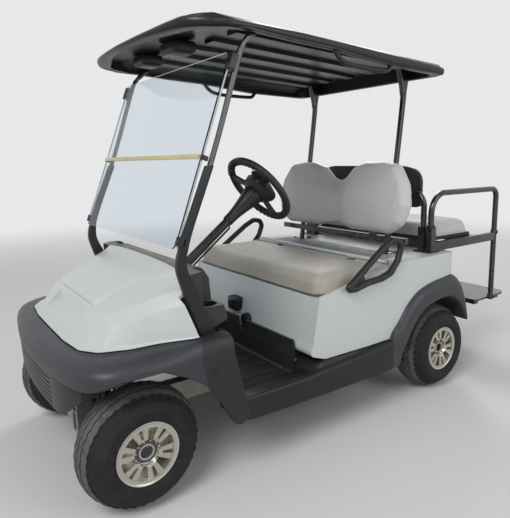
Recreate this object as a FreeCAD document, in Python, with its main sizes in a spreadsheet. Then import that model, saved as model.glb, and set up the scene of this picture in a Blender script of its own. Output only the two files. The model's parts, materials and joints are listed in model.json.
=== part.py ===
"""Four-seat electric golf cart: light plastic body on an aluminium frame, sun roof on four
struts, folding windscreen, bench seat over the battery bay and a rear-facing flip seat.

Frame: +X forward, +Y to the driver's left, +Z up. The origin is on the ground, under the
middle of the overall length. Millimetres.
"""
import FreeCAD, Part
import math
import os

V = FreeCAD.Vector

# name, value, what it is. Heights are above the ground. "ahead" and "behind" count from an axle.
DIMENSIONS = [
    ("wheelbase", 1664, "front axle to rear axle"),
    ("track_front", 876, "between the front tyres' middles"),
    ("track_rear", 978, "between the rear tyres' middles"),
    ("front_overhang", 280, "front axle to the nose"),
    ("rear_overhang", 854, "rear axle to the end of the foot plate"),
    ("fit_gap", 0.3, "between pieces that rest on each other"),
    ("running_gap", 0.05, "radial clearance of shafts"),
    ("swing_gap", 7, "beside pieces that swing"),
    ("panel", 7, "moulded panel thickness"),
    ("tyre_radius", 228, "outside of the tread"),
    ("tyre_width", 212, "across the sidewalls"),
    ("rim_radius", 104, "bead seat of the wheel"),
    ("rim_lip", 12, "flange above the bead seat"),
    ("rim_width", 182, "outside the flanges"),
    ("rim_wall", 6, "barrel of the wheel"),
    ("cover_openings", 6, "wide openings of the wheel cover, with as many narrow ones between them"),
    ("cover_outer", 98, "wheel's middle to the openings' outer ends"),
    ("hub_radius", 34, "hub barrel inside the wheel"),
    ("spindle_radius", 12.5, "stub axle"),
    ("kingpin_half", 352, "middle plane to the kingpin"),
    ("kingpin_radius", 9, "kingpin bolt"),
    ("kingpin_eye", 80, "height of the knuckle's kingpin sleeve"),
    ("steer_arm", 112, "kingpin to the tie rod's pin, along X"),
    ("rail_half", 160, "middle plane to a frame rail's middle"),
    ("rail_width", 56, "frame rail"),
    ("rail_height", 88, "frame rail"),
    ("rail_wall", 8, "wall of the rails"),
    ("rail_rise", 116, "how far the rails climb over the rear axle"),
    ("floor_top", 300, "top of the floor"),
    ("floor_skin", 10, "floor and toe board thickness"),
    ("floor_half", 443, "middle plane to the floor's side edge"),
    ("sill_base", 237, "bottom edge of the rockers"),
    ("sill_top", 372, "top of the rockers beside the pod"),
    ("body_half", 590, "middle plane to the rockers' and flares' outside"),
    ("seam_height", 606, "where the cowl sits on the fender, above the front axle"),
    ("fender_half", 590, "middle plane to the front fender's side"),
    ("fender_lip", 540, "lower edge of the front fender"),
    ("cowl_top", 858, "cowl at its rear edge"),
    ("cowl_tail", -214, "front axle to the cowl's rear edge"),
    ("scoop_half", 205, "nose scoop, half its width"),
    ("scoop_deep", 26, "step of the nose scoop, along X"),
    ("bumper_base", 330, "bottom of the front bumper"),
    ("bumper_top", 548, "top of the front bumper, under the nose band"),
    ("bumper_nose", 258, "front axle to the bumper's face"),
    ("groove", 3.5, "depth of the bumper's grooves"),
    ("kick_top", 455, "riser of the floor in front of the pod"),
    ("arch_radius", 284, "rear wheel arch"),
    ("flare_width", 118, "rear arch flare, from the arch outward"),
    ("pod_half", 560, "middle plane to the seat pod's side"),
    ("pod_front", 878, "rear axle forward to the pod's face"),
    ("pod_tail", -180, "rear axle forward to the pod's rear face"),
    ("ledge_height", 650, "ledge under the front cushion"),
    ("deck_height", 748, "deck behind the front cushion"),
    ("cushion_depth", 425, "front cushion, along X"),
    ("cushion_half", 524, "front cushion, half its width"),
    ("cushion_thick", 102, "front cushion"),
    ("back_half", 527, "front backrest, half its width"),
    ("back_base", 868, "bottom of the front backrest"),
    ("back_height", 379, "front backrest"),
    ("back_thick", 88, "front backrest"),
    ("back_lean", 8, "front backrest, degrees from upright"),
    ("roof_half", 560, "middle plane to the roof's side"),
    ("roof_crown", 1768, "top of the roof"),
    ("roof_skin", 9, "roof thickness"),
    ("roof_rim", 34, "width of the roof's rim"),
    ("roof_nose", -165, "front axle to the roof's front"),
    ("roof_tail", 24, "rear axle forward to the roof's rear"),
    ("screen_half", 502, "windscreen, half its width"),
    ("screen_thick", 6, "windscreen"),
    ("strut_outer", 520, "middle plane to a front strut's outside"),
    ("strut_side", 36, "front strut, along Y"),
    ("post_half", 349, "middle plane to a rear roof post"),
    ("post_size", 38, "rear roof post"),
    ("tube", 32, "grab rail and hoop tube"),
    ("tube_wall", 2.5, "grab rail and hoop tube"),
    ("socket", 40, "square socket that holds a rail's foot"),
    ("socket_top", 886, "top of the sockets"),
    ("rail_y", 490, "middle plane to a grab rail"),
    ("hoop_y", 442, "middle plane to the hoop's leg"),
    ("rail_front", 9, "rear axle forward to the rails' front legs"),
    ("rail_rear", -636, "rear axle forward to the rails' rear legs"),
    ("grab_top", 1066, "grab rail's top tube"),
    ("bar_high", 48, "rear seat frame's bars, height"),
    ("bar_wide", 26, "rear seat frame's bars, width"),
    ("bar_base", 752, "underside of the seat frame's bars"),
    ("plate_top", 385, "foot plate"),
    ("plate_depth", 356, "foot plate, along X"),
    ("plate_thick", 12, "foot plate"),
    ("plate_corner", 60, "foot plate's corners"),
    ("rear_half", 455, "rear cushion, half its width"),
    ("rear_depth", 392, "rear cushion, along X"),
    ("rear_thick", 97, "rear cushion"),
    ("base_thick", 16, "board under the rear cushion"),
    ("flip_pin", 5, "pin of the rear seat's hinge"),
    ("rear_back_half", 405, "rear backrest, half its width"),
    ("rear_back_base", 984, "bottom of the rear backrest"),
    ("rear_back_high", 229, "rear backrest"),
    ("rear_back_pad", 56, "rear backrest's pad"),
    ("rear_back_shell", 18, "rear backrest's shell"),
    ("steer_y", 236, "middle plane to the steering column"),
    ("steer_radius", 162, "steering wheel, to the middle of its rim"),
    ("steer_tube", 16, "steering wheel's rim"),
    ("column_radius", 28, "steering column"),
    ("shaft_radius", 9, "steering shaft"),
    ("column_angle", 38, "steering column above the horizontal, degrees"),
    ("cup_radius", 40, "cup holder"),
    ("socket_radius", 24, "charge socket's bore"),
]


class Size:
    """A length that remembers which sheet cells it comes from."""

    def __init__(self, value, text):
        self.value = float(value)
        self.text = text

    def __float__(self):
        return self.value

    def join(self, other, sign, value):
        text = other.text if isinstance(other, Size) else "(%r)" % float(other)
        return Size(value, "(%s %s %s)" % (self.text, sign, text))

    def __add__(self, other):
        return self.join(other, "+", self.value + float(other))

    def __sub__(self, other):
        return self.join(other, "-", self.value - float(other))

    def __mul__(self, other):
        return self.join(other, "*", self.value * float(other))

    def __truediv__(self, other):
        return self.join(other, "/", self.value / float(other))

    def __neg__(self):
        return Size(-self.value, "(-1 * %s)" % self.text)

    __radd__ = __add__
    __rmul__ = __mul__

    def __rsub__(self, other):
        return (-self) + other


class Dims:
    """The sheet's cells as attributes."""


doc = FreeCAD.newDocument("golf_cart")
sheet = doc.addObject("Spreadsheet::Sheet", "Sizes")
d = Dims()
for row, (name, value, note) in enumerate(DIMENSIONS, start=1):
    sheet.set("A%d" % row, name)
    sheet.set("B%d" % row, str(value))
    sheet.set("C%d" % row, note)
    sheet.setAlias("B%d" % row, name)
doc.recompute()
for name, value, note in DIMENSIONS:
    setattr(d, name, Size(sheet.get(name), "Sizes.%s" % name))

AXLE_FRONT = (d.wheelbase + d.rear_overhang - d.front_overhang) / 2
AXLE_REAR = AXLE_FRONT - d.wheelbase
pieces = []


def ahead(distance):
    """X of a point that lies this far ahead of the front axle."""
    return AXLE_FRONT + distance


def behind(distance):
    """X of a point that lies this far ahead of the rear axle."""
    return AXLE_REAR + distance


# Helpers that make document objects bound to the sheet


def bind(obj, **sizes):
    for prop, size in sizes.items():
        prop = prop.replace("__", ".")
        if isinstance(size, Size):
            obj.setExpression(prop, size.text)
        elif "." not in prop:
            setattr(obj, prop, size)


def place(obj, x, y, z, rotation=None):
    obj.Placement = FreeCAD.Placement(V(x, y, z), rotation or FreeCAD.Rotation())
    bind(obj, Placement__Base__x=x, Placement__Base__y=y, Placement__Base__z=z)
    return obj


def block(name, x, y, z):
    """A box between pairs of sizes."""
    obj = doc.addObject("Part::Box", name)
    bind(obj, Length=x[1] - x[0], Width=y[1] - y[0], Height=z[1] - z[0])
    return place(obj, x[0], y[0], z[0])


def rod(name, radius, length, x, y, z, axis="Z"):
    """A round bar that starts at a point and runs along +axis."""
    turn = {"Z": (V(0, 0, 1), 0), "Y": (V(1, 0, 0), -90), "X": (V(0, 1, 0), 90)}[axis]
    obj = doc.addObject("Part::Cylinder", name)
    bind(obj, Radius=radius, Height=length)
    return place(obj, x, y, z, FreeCAD.Rotation(*turn))


def fused(name, objects):
    obj = doc.addObject("Part::MultiFuse", name)
    obj.Shapes = objects
    return obj


def cut(name, base, tools):
    obj = doc.addObject("Part::Cut", name)
    obj.Base = base
    obj.Tool = tools[0] if len(tools) == 1 else fused(name + "_tools", tools)
    return obj


def feature(name, shape):
    obj = doc.addObject("Part::Feature", name)
    obj.Shape = shape
    return obj


def keep(obj, label):
    obj.Label = label
    pieces.append(obj)
    return obj


def shape_piece(label, shape):
    return keep(feature(label + "_shape", shape), label)


def padded(name, plane, outline, length, start, corner=0.0):
    """A body padded from a sketch whose corners are bound to the sheet."""
    body = doc.addObject("PartDesign::Body", name)
    sketch = body.newObject("Sketcher::SketchObject", name + "_outline")
    for datum in body.Origin.OriginFeatures:
        if datum.Role == plane:
            sketch.AttachmentSupport = [(datum, "")]
    sketch.MapMode = "FlatFace"
    bind(sketch, AttachmentOffset__Base__z=start)
    import Sketcher

    count = len(outline)
    for i, (u, v) in enumerate(outline):
        nu, nv = outline[(i + 1) % count]
        sketch.addGeometry(Part.LineSegment(V(u, v, 0), V(nu, nv, 0)), False)
    for i, (u, v) in enumerate(outline):
        sketch.addConstraint(Sketcher.Constraint("Coincident", (i - 1) % count, 2, i, 1))
    for i, (u, v) in enumerate(outline):
        for kind, size in (("DistanceX", u), ("DistanceY", v)):
            k = sketch.addConstraint(Sketcher.Constraint(kind, -1, 1, i, 1, float(size)))
            if isinstance(size, Size):
                sketch.setExpression("Constraints[%d]" % k, size.text)
    pad = body.newObject("PartDesign::Pad", name + "_pad")
    pad.Profile = sketch
    bind(pad, Length=length)
    doc.recompute()
    if float(corner) > 0:
        tall = [
            "Edge%d" % (i + 1)
            for i, e in enumerate(pad.Shape.Edges)
            if len(e.Vertexes) == 2 and abs(e.Length - float(length)) < 1e-6
        ]
        fillet = body.newObject("PartDesign::Fillet", name + "_corners")
        fillet.Base = (pad, tall)
        bind(fillet, Radius=corner)
    return body


# Helpers that work on shapes


def outline(points, radii=None, at=0.0, plane="XZ"):
    """A closed wire through (u, v) points, each corner rounded by its radius."""
    count = len(points)
    radii = radii if isinstance(radii, (list, tuple)) else [radii or 0.0] * count
    lift = {
        "XZ": lambda u, v: V(u, at, v),
        "YZ": lambda u, v: V(at, u, v),
        "XY": lambda u, v: V(u, v, at),
    }[plane]
    pts = [(float(u), float(v)) for u, v in points]
    starts, ends, arcs = [], [], []
    for i, (x, y) in enumerate(pts):
        px, py = pts[i - 1]
        nx, ny = pts[(i + 1) % count]
        a = math.hypot(px - x, py - y)
        b = math.hypot(nx - x, ny - y)
        ua, ub = ((px - x) / a, (py - y) / a), ((nx - x) / b, (ny - y) / b)
        turn = math.acos(max(-1.0, min(1.0, ua[0] * ub[0] + ua[1] * ub[1])))
        r = float(radii[i])
        if r <= 0 or turn > math.pi - 1e-3:
            starts.append((x, y))
            ends.append((x, y))
            arcs.append(None)
            continue
        reach = min(r / math.tan(turn / 2), 0.49 * a, 0.49 * b)
        r = reach * math.tan(turn / 2)
        starts.append((x + ua[0] * reach, y + ua[1] * reach))
        ends.append((x + ub[0] * reach, y + ub[1] * reach))
        bx, by = ua[0] + ub[0], ua[1] + ub[1]
        size = math.hypot(bx, by)
        far = r / math.sin(turn / 2) - r
        arcs.append((x + bx / size * far, y + by / size * far))
    edges = []
    for i in range(count):
        j = (i + 1) % count
        if arcs[i]:
            edges.append(Part.Arc(lift(*starts[i]), lift(*arcs[i]), lift(*ends[i])).toShape())
        if math.hypot(ends[i][0] - starts[j][0], ends[i][1] - starts[j][1]) > 1e-6:
            edges.append(Part.LineSegment(lift(*ends[i]), lift(*starts[j])).toShape())
    return Part.Wire(edges)


def prism(points, radii, low, high, plane="XZ"):
    """A solid with a rounded outline, between two positions on the third axis."""
    along = {"XZ": V(0, 1, 0), "YZ": V(1, 0, 0), "XY": V(0, 0, 1)}[plane]
    face = Part.Face(outline(points, radii, float(low), plane))
    return face.extrude(along * (float(high) - float(low)))


def loft(wires, ruled=False):
    return Part.makeLoft(wires, True, ruled)


def bar(x, y, z):
    """A plain box shape between pairs of sizes."""
    lo = V(x[0], y[0], z[0])
    return Part.makeBox(*[float(s[1]) - float(s[0]) for s in (x, y, z)], lo)


def pipe(points, bends, radius, wall=0.0):
    """A round tube along straight runs joined by bends of the given radii."""
    pts = [V(*p) for p in points]
    edges, start = [], pts[0]
    for i in range(1, len(pts) - 1):
        a, b = (pts[i - 1] - pts[i]).normalize(), (pts[i + 1] - pts[i]).normalize()
        half = a.getAngle(b) / 2
        r = float(bends[i - 1] if isinstance(bends, (list, tuple)) else bends)
        reach = r / math.tan(half)
        mid = (a + b).normalize() * (r / math.sin(half) - r)
        enter, leave = pts[i] + a * reach, pts[i] + b * reach
        edges.append(Part.LineSegment(start, enter).toShape())
        edges.append(Part.Arc(enter, pts[i] + mid, leave).toShape())
        start = leave
    edges.append(Part.LineSegment(start, pts[-1]).toShape())
    path = Part.Wire(edges)
    way = (pts[1] - pts[0]).normalize()
    rings = []
    for r in (float(radius), float(radius) - float(wall)):
        ring = Part.Wire(Part.makeCircle(r, pts[0], way))
        rings.append(path.makePipeShell([ring], True, False))
        if not wall:
            return rings[0]
    return rings[0].cut(rings[1])


def mirrored(shape):
    return shape.mirror(V(0, 0, 0), V(0, 1, 0))


def both(shape):
    """A piece and its twin on the other side."""
    return Part.makeCompound([shape, mirrored(shape)])


def merged(shapes):
    return shapes[0].fuse(shapes[1:]).removeSplitter()


def solids(shape):
    """The shape as a plain compound of its solids."""
    found = shape.Solids
    return found[0] if len(found) == 1 else Part.makeCompound(found)


# Chassis

RAIL_TOP = d.floor_top - d.floor_skin - d.fit_gap
RAIL_BASE = RAIL_TOP - d.rail_height
RAIL_NOSE = ahead(150)
RAIL_TAIL = behind(-352)
KINK = behind(414)


def rail_profile(inset):
    """Side outline of a rail, which climbs over the rear axle, shrunk by an inset."""
    low, high = RAIL_BASE + inset, RAIL_TOP - inset
    return [
        (RAIL_NOSE, low),
        (KINK, low),
        (KINK - d.rail_rise, low + d.rail_rise),
        (RAIL_TAIL, low + d.rail_rise),
        (RAIL_TAIL, high + d.rail_rise),
        (KINK - d.rail_rise - 26, high + d.rail_rise),
        (KINK - 26, high),
        (RAIL_NOSE, high),
    ]


def frame():
    half = d.rail_width / 2
    outer = prism(rail_profile(0), 0, d.rail_half - half, d.rail_half + half)
    bore = prism(
        rail_profile(float(d.rail_wall)),
        0,
        d.rail_half - half + d.rail_wall,
        d.rail_half + half - d.rail_wall,
    )
    rail = outer.cut(bore)
    inner = d.rail_half - half
    parts = [rail, mirrored(rail)]
    # x of the middle, lowest z, half length along Y
    crossings = [
        (ahead(118), RAIL_BASE, inner),
        (ahead(-120), RAIL_BASE, inner),
        (ahead(-640), RAIL_BASE, inner),
        (behind(470), RAIL_BASE, inner),
        (behind(-200), RAIL_BASE + d.rail_rise, inner),
    ]
    for x, low, reach in crossings:
        outside = bar((x - 24, x + 24), (-reach - 1, reach + 1), (low + 12, low + d.rail_height - 12))
        parts.append(outside)
    # outriggers that carry the leaf springs' eyes
    for x, low, high in (
        (SPRING_FRONT, EYE_FRONT + EYE_RADIUS + d.fit_gap, RAIL_TOP - 10),
        (SPRING_REAR, EYE_REAR + EYE_RADIUS + d.fit_gap, RAIL_TOP + d.rail_rise - 20),
    ):
        wing = bar((x - 20, x + 20), (d.rail_half + half - 4, SPRING_Y + 24), (low, high))
        parts += [wing, mirrored(wing)]
    # uprights behind the bumper, which also carry the front struts
    for side in (1, -1):
        y = side * (d.rail_half + half)
        ys = (y, y + side * 12)
        post = bar(
            (RAIL_NOSE - 60, RAIL_NOSE),
            (min(map(float, ys)), max(map(float, ys))),
            (RAIL_BASE, d.bumper_top - 30),
        )
        parts.append(post)
    beam = bar((RAIL_NOSE - 12, RAIL_NOSE), (-210, 210), (RAIL_TOP + 30, d.bumper_top - 40))
    parts.append(beam)
    seat = bumper_loft(float(d.panel + d.fit_gap), float(d.bumper_top) + 1)
    for side in (1, -1):
        ys = sorted((side * (float(d.rail_half) - 12), side * (float(d.rail_half) + 40)))
        arm = bar((RAIL_NOSE - 12, ahead(300)), ys, (d.bumper_top - 90, d.bumper_top - 60))
        parts.append(arm.common(seat))
    tow = Part.makeCylinder(10.5, 60, V(float(RAIL_NOSE) - 40, 0, float(RAIL_TOP) + 50), V(1, 0, 0))
    whole = merged(parts)
    return whole.cut(tow)


SPRING_Y = 300.0
EYE_RADIUS = 13.0
EYE_FRONT = RAIL_BASE + 2
EYE_REAR = RAIL_BASE + 58
SPRING_HALF = 330.0
SPRING_FRONT = behind(SPRING_HALF)
SPRING_REAR = behind(-SPRING_HALF)
AXLE_TUBE = 34.0


def rear_springs():
    """Leaf packs under the axle tubes, with their clamps, eyes and dampers."""
    parts = []
    leaf_width = 44.0
    top = float(d.tyre_radius) - AXLE_TUBE - 6
    low_x, high_x = float(SPRING_REAR), float(SPRING_FRONT)
    front_eye, rear_eye = float(EYE_FRONT) + 4, float(EYE_REAR) + 4
    spans = ((1.0, 0.0), (0.74, 9.0), (0.48, 18.0))
    for share, drop in spans:
        pts, back = [], []
        for side, eye in ((-1, rear_eye), (1, front_eye)):
            reach = SPRING_HALF * share
            height = top - 9 + (eye - top + 9) * share ** 1.6
            pts.append((float(AXLE_REAR) + side * reach, height - drop))
            back.append((float(AXLE_REAR) + side * reach, height - drop - 8))
        middle = (float(AXLE_REAR), top - 8 - drop)
        under = (float(AXLE_REAR), top - 16 - drop)
        upper = Part.Arc(V(pts[0][0], 0, pts[0][1]), V(middle[0], 0, middle[1]), V(pts[1][0], 0, pts[1][1]))
        lower = Part.Arc(
            V(back[0][0], 0, back[0][1]), V(under[0], 0, under[1]), V(back[1][0], 0, back[1][1])
        )
        ends = [
            Part.LineSegment(V(pts[i][0], 0, pts[i][1]), V(back[i][0], 0, back[i][1]))
            for i in (0, 1)
        ]
        wire = Part.Wire([upper.toShape(), ends[1].toShape(), lower.toShape(), ends[0].toShape()])
        leaf = Part.Face(wire).extrude(V(0, leaf_width, 0))
        leaf.translate(V(0, SPRING_Y - leaf_width / 2, 0))
        parts.append(leaf)
    for x, z in ((low_x, rear_eye - 4), (high_x, front_eye - 4)):
        eye = Part.makeCylinder(EYE_RADIUS, leaf_width, V(x, SPRING_Y - leaf_width / 2, z), V(0, 1, 0))
        parts.append(eye)
    clamp = bar(
        (AXLE_REAR - 46, AXLE_REAR + 46),
        (SPRING_Y - 34, SPRING_Y + 34),
        (top - 44, top + 5.7),
    )
    parts.append(clamp)
    side = merged(parts)
    return both(side)


def rear_axle():
    """Axle tubes, gear case and the motor beside it, with the stub shafts for the wheels."""
    x, z = float(AXLE_REAR), float(d.tyre_radius)
    hub_in = float(d.track_rear) / 2 - HUB_BEHIND
    end = hub_in - float(d.fit_gap)
    tube = Part.makeCylinder(AXLE_TUBE, 2 * end, V(x, -end, z), V(0, 1, 0))
    case = Part.makeCylinder(92, 120, V(x - 10, -20, z - 4), V(0, 1, 0))
    motor = Part.makeCylinder(80, 210, V(x + 30, -250, z), V(0, 1, 0))
    shaft_end = float(d.track_rear) / 2 + HUB_AHEAD + 10
    shaft = Part.makeCylinder(d.spindle_radius, 2 * shaft_end, V(x, -shaft_end, z), V(0, 1, 0))
    return merged([tube, case, motor, shaft])


# how far the hub reaches inboard and outboard of the wheel's middle
HUB_BEHIND = 58.0
HUB_AHEAD = 40.0
CLEVIS = 12.0


def front_suspension():
    """A-plates, upper arms, clevises with kingpins, and coil dampers, on both sides."""
    x, z = float(AXLE_FRONT), float(d.tyre_radius)
    y = float(d.kingpin_half)
    eye = float(d.kingpin_eye) / 2 + 0.5
    face = float(d.rail_half + d.rail_width / 2)
    low, high = z - eye - CLEVIS, z + eye
    plate = prism(
        [(x - 70, face - 56), (x + 110, face - 56), (x + 110, face), (x + 20, y + 14), (x - 20, y + 14),
         (x - 70, face)],
        [0, 0, 30, 16, 16, 30],
        low, low + CLEVIS, "XY",
    )
    mount = bar((x - 70, x + 110), (face - 50, face - 6), (low + 2, RAIL_BASE - d.fit_gap))
    arm = prism(
        [(x - 60, face + d.fit_gap), (x + 60, face + d.fit_gap), (x + 18, y + 14), (x - 18, y + 14)],
        [0, 0, 14, 14],
        high, high + CLEVIS, "XY",
    )
    cheek = bar((x - 60, x + 60), (face + d.fit_gap, face + 10), (high - 30, RAIL_TOP))
    pin = Part.makeCylinder(d.kingpin_radius, 2 * (eye + CLEVIS) + 8, V(x, y, low - 4))
    damper = pipe([(x + 44, y - 92, low + 4), (x + 44, face + 18, z + 215)], [], 20)
    tower = bar((x + 20, x + 68), (face + d.fit_gap, face + 34), (RAIL_TOP - 60, z + 218))
    return both(merged([plate, mount, arm, cheek, pin, damper, tower]))


def knuckle():
    """Left steering knuckle: kingpin sleeve, stub axle and steering arm."""
    x, y, z = float(AXLE_FRONT), float(d.kingpin_half), float(d.tyre_radius)
    half = float(d.kingpin_eye) / 2
    sleeve = Part.makeCylinder(17, 2 * half, V(x, y, z - half))
    hub_in = float(d.track_front) / 2 - HUB_BEHIND
    tip = float(d.track_front) / 2 + HUB_AHEAD + 10
    stub = Part.makeCylinder(d.spindle_radius, tip - y, V(x, y, z), V(0, 1, 0))
    boss = Part.makeCylinder(26, hub_in - 0.3 - y, V(x, y, z), V(0, 1, 0))
    arm_x, arm_y = x - float(d.steer_arm), y - STEER_IN
    arm = prism(
        [(x + 10, y - 10), (x + 4, y - 22), (arm_x - 12, arm_y - 14), (arm_x - 14, arm_y + 10),
         (arm_x + 10, arm_y + 14), (x - 8, y + 10)],
        [4, 4, 11, 11, 8, 4],
        STEER_LOW, STEER_LOW + 12, "XY",
    )
    body = merged([sleeve, stub, boss, arm])
    hole = Part.makeCylinder(d.kingpin_radius + d.running_gap, 2 * half + 2, V(x, y, z - half - 1))
    return body.cut(hole)


STEER_IN = 52.0
STEER_LOW = 194.0


def tie_rod():
    x = float(AXLE_FRONT - d.steer_arm)
    y = float(d.kingpin_half) - STEER_IN
    top = STEER_LOW - float(d.fit_gap)
    rod_z = top - 9
    rod = Part.makeCylinder(7, 2 * y, V(x, -y, rod_z), V(0, 1, 0))
    ends = []
    for side in (1, -1):
        ends.append(Part.makeCylinder(12, 18, V(x, side * y, rod_z - 9)))
    return merged([rod] + ends)


# Wheels


def revolved(points, radii, x, y, z, outward):
    """A ring turned about the wheel's axis from (distance outboard, radius) points."""
    face = Part.Face(outline([(outward * u, v) for u, v in points], radii, 0.0, "YZ"))
    ring = face.revolve(V(0, 0, 0), V(0, 1, 0), 360)
    ring.translate(V(x, y, z))
    return ring


def tyre(x, y, outward):
    """Balloon tyre with a crowned tread, hollow and open to the rim."""
    half, big = float(d.tyre_width) / 2, float(d.tyre_radius)
    bead = float(d.rim_radius) + float(d.fit_gap)
    seat = float(d.rim_width) / 2 - float(d.rim_wall) - float(d.fit_gap)
    wall = 13.0
    lip = bead + float(d.rim_lip) + 5
    # distance from the middle, radius, radius of the corner
    right = [(30, big, 90), (70, big - 22, 70), (half, big - 60, 44), (half, lip + 20, 16), (seat, lip, 10),
             (seat, bead, 3)]
    hollow = [(seat - wall, bead, 0), (seat - wall, lip + 8, 10), (half - wall, lip + 26, 14),
              (half - wall, big - 64, 34), (62, big - 22 - wall, 60), (28, big - wall, 80)]
    outside = [(-u, v, r) for u, v, r in reversed(right)] + right
    inside = hollow + [(-u, v, r) for u, v, r in reversed(hollow)]
    points = [(u, v) for u, v, _ in outside + inside]
    return revolved(points, [r for _, _, r in outside + inside], x, y, float(d.tyre_radius), outward)


def wheel(x, y, outward):
    """Rim barrel with its disc, hub sleeve and a dished cover with twelve openings."""
    half, seat = float(d.rim_width) / 2, float(d.rim_radius)
    lip = seat + float(d.rim_lip)
    wall = float(d.rim_wall)
    hub, bore = float(d.hub_radius), float(d.spindle_radius + d.running_gap)
    z = float(d.tyre_radius)
    barrel = revolved(
        [(-half, lip), (-half, seat - wall), (half, seat - wall), (half, lip), (half - wall, lip),
         (half - wall, seat), (-half + wall, seat), (-half + wall, lip)],
        0, x, y, z, outward,
    )
    disc = revolved(
        [(6, bore), (6, seat - wall + 1), (14, seat - wall + 1), (14, bore)], 0, x, y, z, outward
    )
    sleeve = revolved(
        [(-HUB_BEHIND, bore), (-HUB_BEHIND, hub), (HUB_AHEAD, hub), (HUB_AHEAD, bore)], 0, x, y, z, outward
    )
    # outer face from the cap to the rim's lip, and the same set in by the cover's wall
    face = [(COVER_FACE - 16, 24), (COVER_FACE - 14, 30), (COVER_FACE - 14, 43), (COVER_FACE, 50),
            (COVER_FACE + 1, 100), (half + 2, lip - 3)]
    back = [(u - 4, v) for u, v in reversed(face[2:5])]
    cover = revolved(
        [(HUB_AHEAD - 3, hub - 12)] + face + [(half + 2, lip + 2), (half - 3, lip + 2), (half - 3, lip - 6)]
        + back + [(HUB_AHEAD - 3, hub)],
        [0, 3, 2, 4, 4, 6, 6, 2, 2, 0, 4, 4, 4, 0], x, y, z, outward,
    )
    openings = []
    outer_end = float(d.cover_outer)
    count = int(float(d.cover_openings))
    turn = 180.0 / count
    for step in range(2 * count):
        inner_end, inner_half, outer_half = ((47, 8, 20), (58, 4, 8))[step % 2]
        points = [(inner_end, -inner_half), (inner_end, inner_half), (outer_end, outer_half),
                  (outer_end, -outer_half)]
        opening = prism(points, 4, HUB_AHEAD + 4, half + 20, "XZ")
        opening.rotate(V(0, 0, 0), V(0, 1, 0), turn * (step + 0.5))
        if outward < 0:
            opening = mirrored(opening)
        opening.translate(V(x, y, z))
        openings.append(opening)
    return merged([barrel, disc, sleeve, cover.cut(openings)])


# wheel's middle to the cover's outer face
COVER_FACE = 84.0

# Floor, rockers and nose


def side_profile(points, origin=ahead):
    """Points given as (distance ahead of an axle, height)."""
    return [(origin(x), z) for x, z in points]


TOE_LINE = [(-416, float(d.floor_top)), (-298, 606)]


def floor_pan():
    """Floor with its toe board, one sheet bent up at the front and up again before the pod."""
    skin = d.floor_skin
    low, top = d.floor_top - skin, d.floor_top
    riser = d.pod_front - d.wheelbase + 46
    lip = float(d.kick_top)
    profile = side_profile([
        (riser, low), (-404, low), (-286, 606), TOE_LINE[1], TOE_LINE[0], (riser + skin + 4, top),
        (riser + skin, lip - 8), (riser + 2 * skin, lip), (riser + 2, lip),
    ])
    sheet_metal = prism(profile, [10, 30, 0, 0, 24, 14, 6, 3, 3], -d.floor_half, d.floor_half)
    ribs = []
    for i in range(9):
        y = -360.0 + 90.0 * i
        ribs.append(bar((ahead(riser + 40), ahead(-440)), (y - 12, y + 12), (top - 1, top + 4)))
    whole = merged([sheet_metal] + ribs)
    around = Part.makeCylinder(43, 60, V(ahead(riser - 20), CHARGE_PORT[0], CHARGE_PORT[1]), V(1, 0, 0))
    return whole.cut(around)


# the charge socket's middle: Y and height
CHARGE_PORT = (35.0, 436.0)


def rocker():
    """Left rocker: a step beam that is open underneath, ending in the fender's rear skirt."""
    outer_pts = side_profile(
        [(-353, d.sill_base), (-400, 262), (-470, 268), (-560, 300), (-640, d.sill_top - 8),
         (-700, d.sill_top), (-1250, d.sill_top), (-1256, d.sill_base - 6), (-800, d.sill_base + 8)]
    )
    t = float(d.panel)
    inner_pts = side_profile(
        [(-353 - 3 * t, d.sill_base - 20), (-404, 262 - t), (-470, 268 - t), (-560, 300 - t),
         (-640, d.sill_top - 8 - t), (-700, d.sill_top - t), (-1250 + t, d.sill_top - t),
         (-1256 + t, d.sill_base - 20)]
    )
    radii = [10, 20, 60, 60, 60, 60, 12, 8, 0]
    outer = prism(outer_pts, radii, d.floor_half + d.fit_gap, d.body_half)
    inner = prism(inner_pts, [0, 14, 50, 50, 50, 50, 8, 0], d.floor_half + d.fit_gap + t, d.body_half - t)
    return outer.cut(inner)


SEAM_SLOPE = -0.04
# half outlines of the nose: ahead of the axle, distance from the middle plane, corner radius
SEAM_PLAN = [(180, 0, 0), (179, 205, 60), (164, 350, 60), (120, 424, 60), (20, 474, 140), (-80, 494, 200),
             (-192, 541, 200), (-402, 541, 0)]
NOSE_PLAN = [(280, 0, 0), (278, 240, 200), (268, 436, 120), (234, 562, 60), (150, 590, 80), (-60, 590, 90),
             (-192, 590, 90), (-402, 590, 0)]


def half_plan(points, nose=0.0, side=0.0):
    """Both halves of a plan outline, drawn in at the nose and at the sides, with its radii."""
    drawn = [(x - nose if x > 0 else x, y - side if y > 0 else y, r) for x, y, r in points]
    rows = [(x, -y, r) for x, y, r in reversed(drawn)] + drawn[1:]
    return [(ahead(x), y) for x, y, _ in rows], [r for _, _, r in rows]


def level(plan, height, slope=0.0):
    """A plan outline in a plane that climbs along X; the height is above the front axle."""
    points, radii = plan
    x0 = float(AXLE_FRONT)
    tilt = math.atan(slope)
    spread = [(x0 + (float(x) - x0) / math.cos(tilt), y) for x, y in points]
    wire = outline(spread, radii, float(height), "XY")
    wire.rotate(V(x0, 0, float(height)), V(0, 1, 0), -math.degrees(tilt))
    return wire


def nose_blend(share):
    """Plan of the fender between its widest line and the seam."""
    rows = []
    for (x, y, r), (sx, sy, sr) in zip(NOSE_PLAN, SEAM_PLAN):
        rows.append((x + (sx - x) * share, y + (sy - y) * share, r + (sr - r) * share))
    return rows


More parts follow.
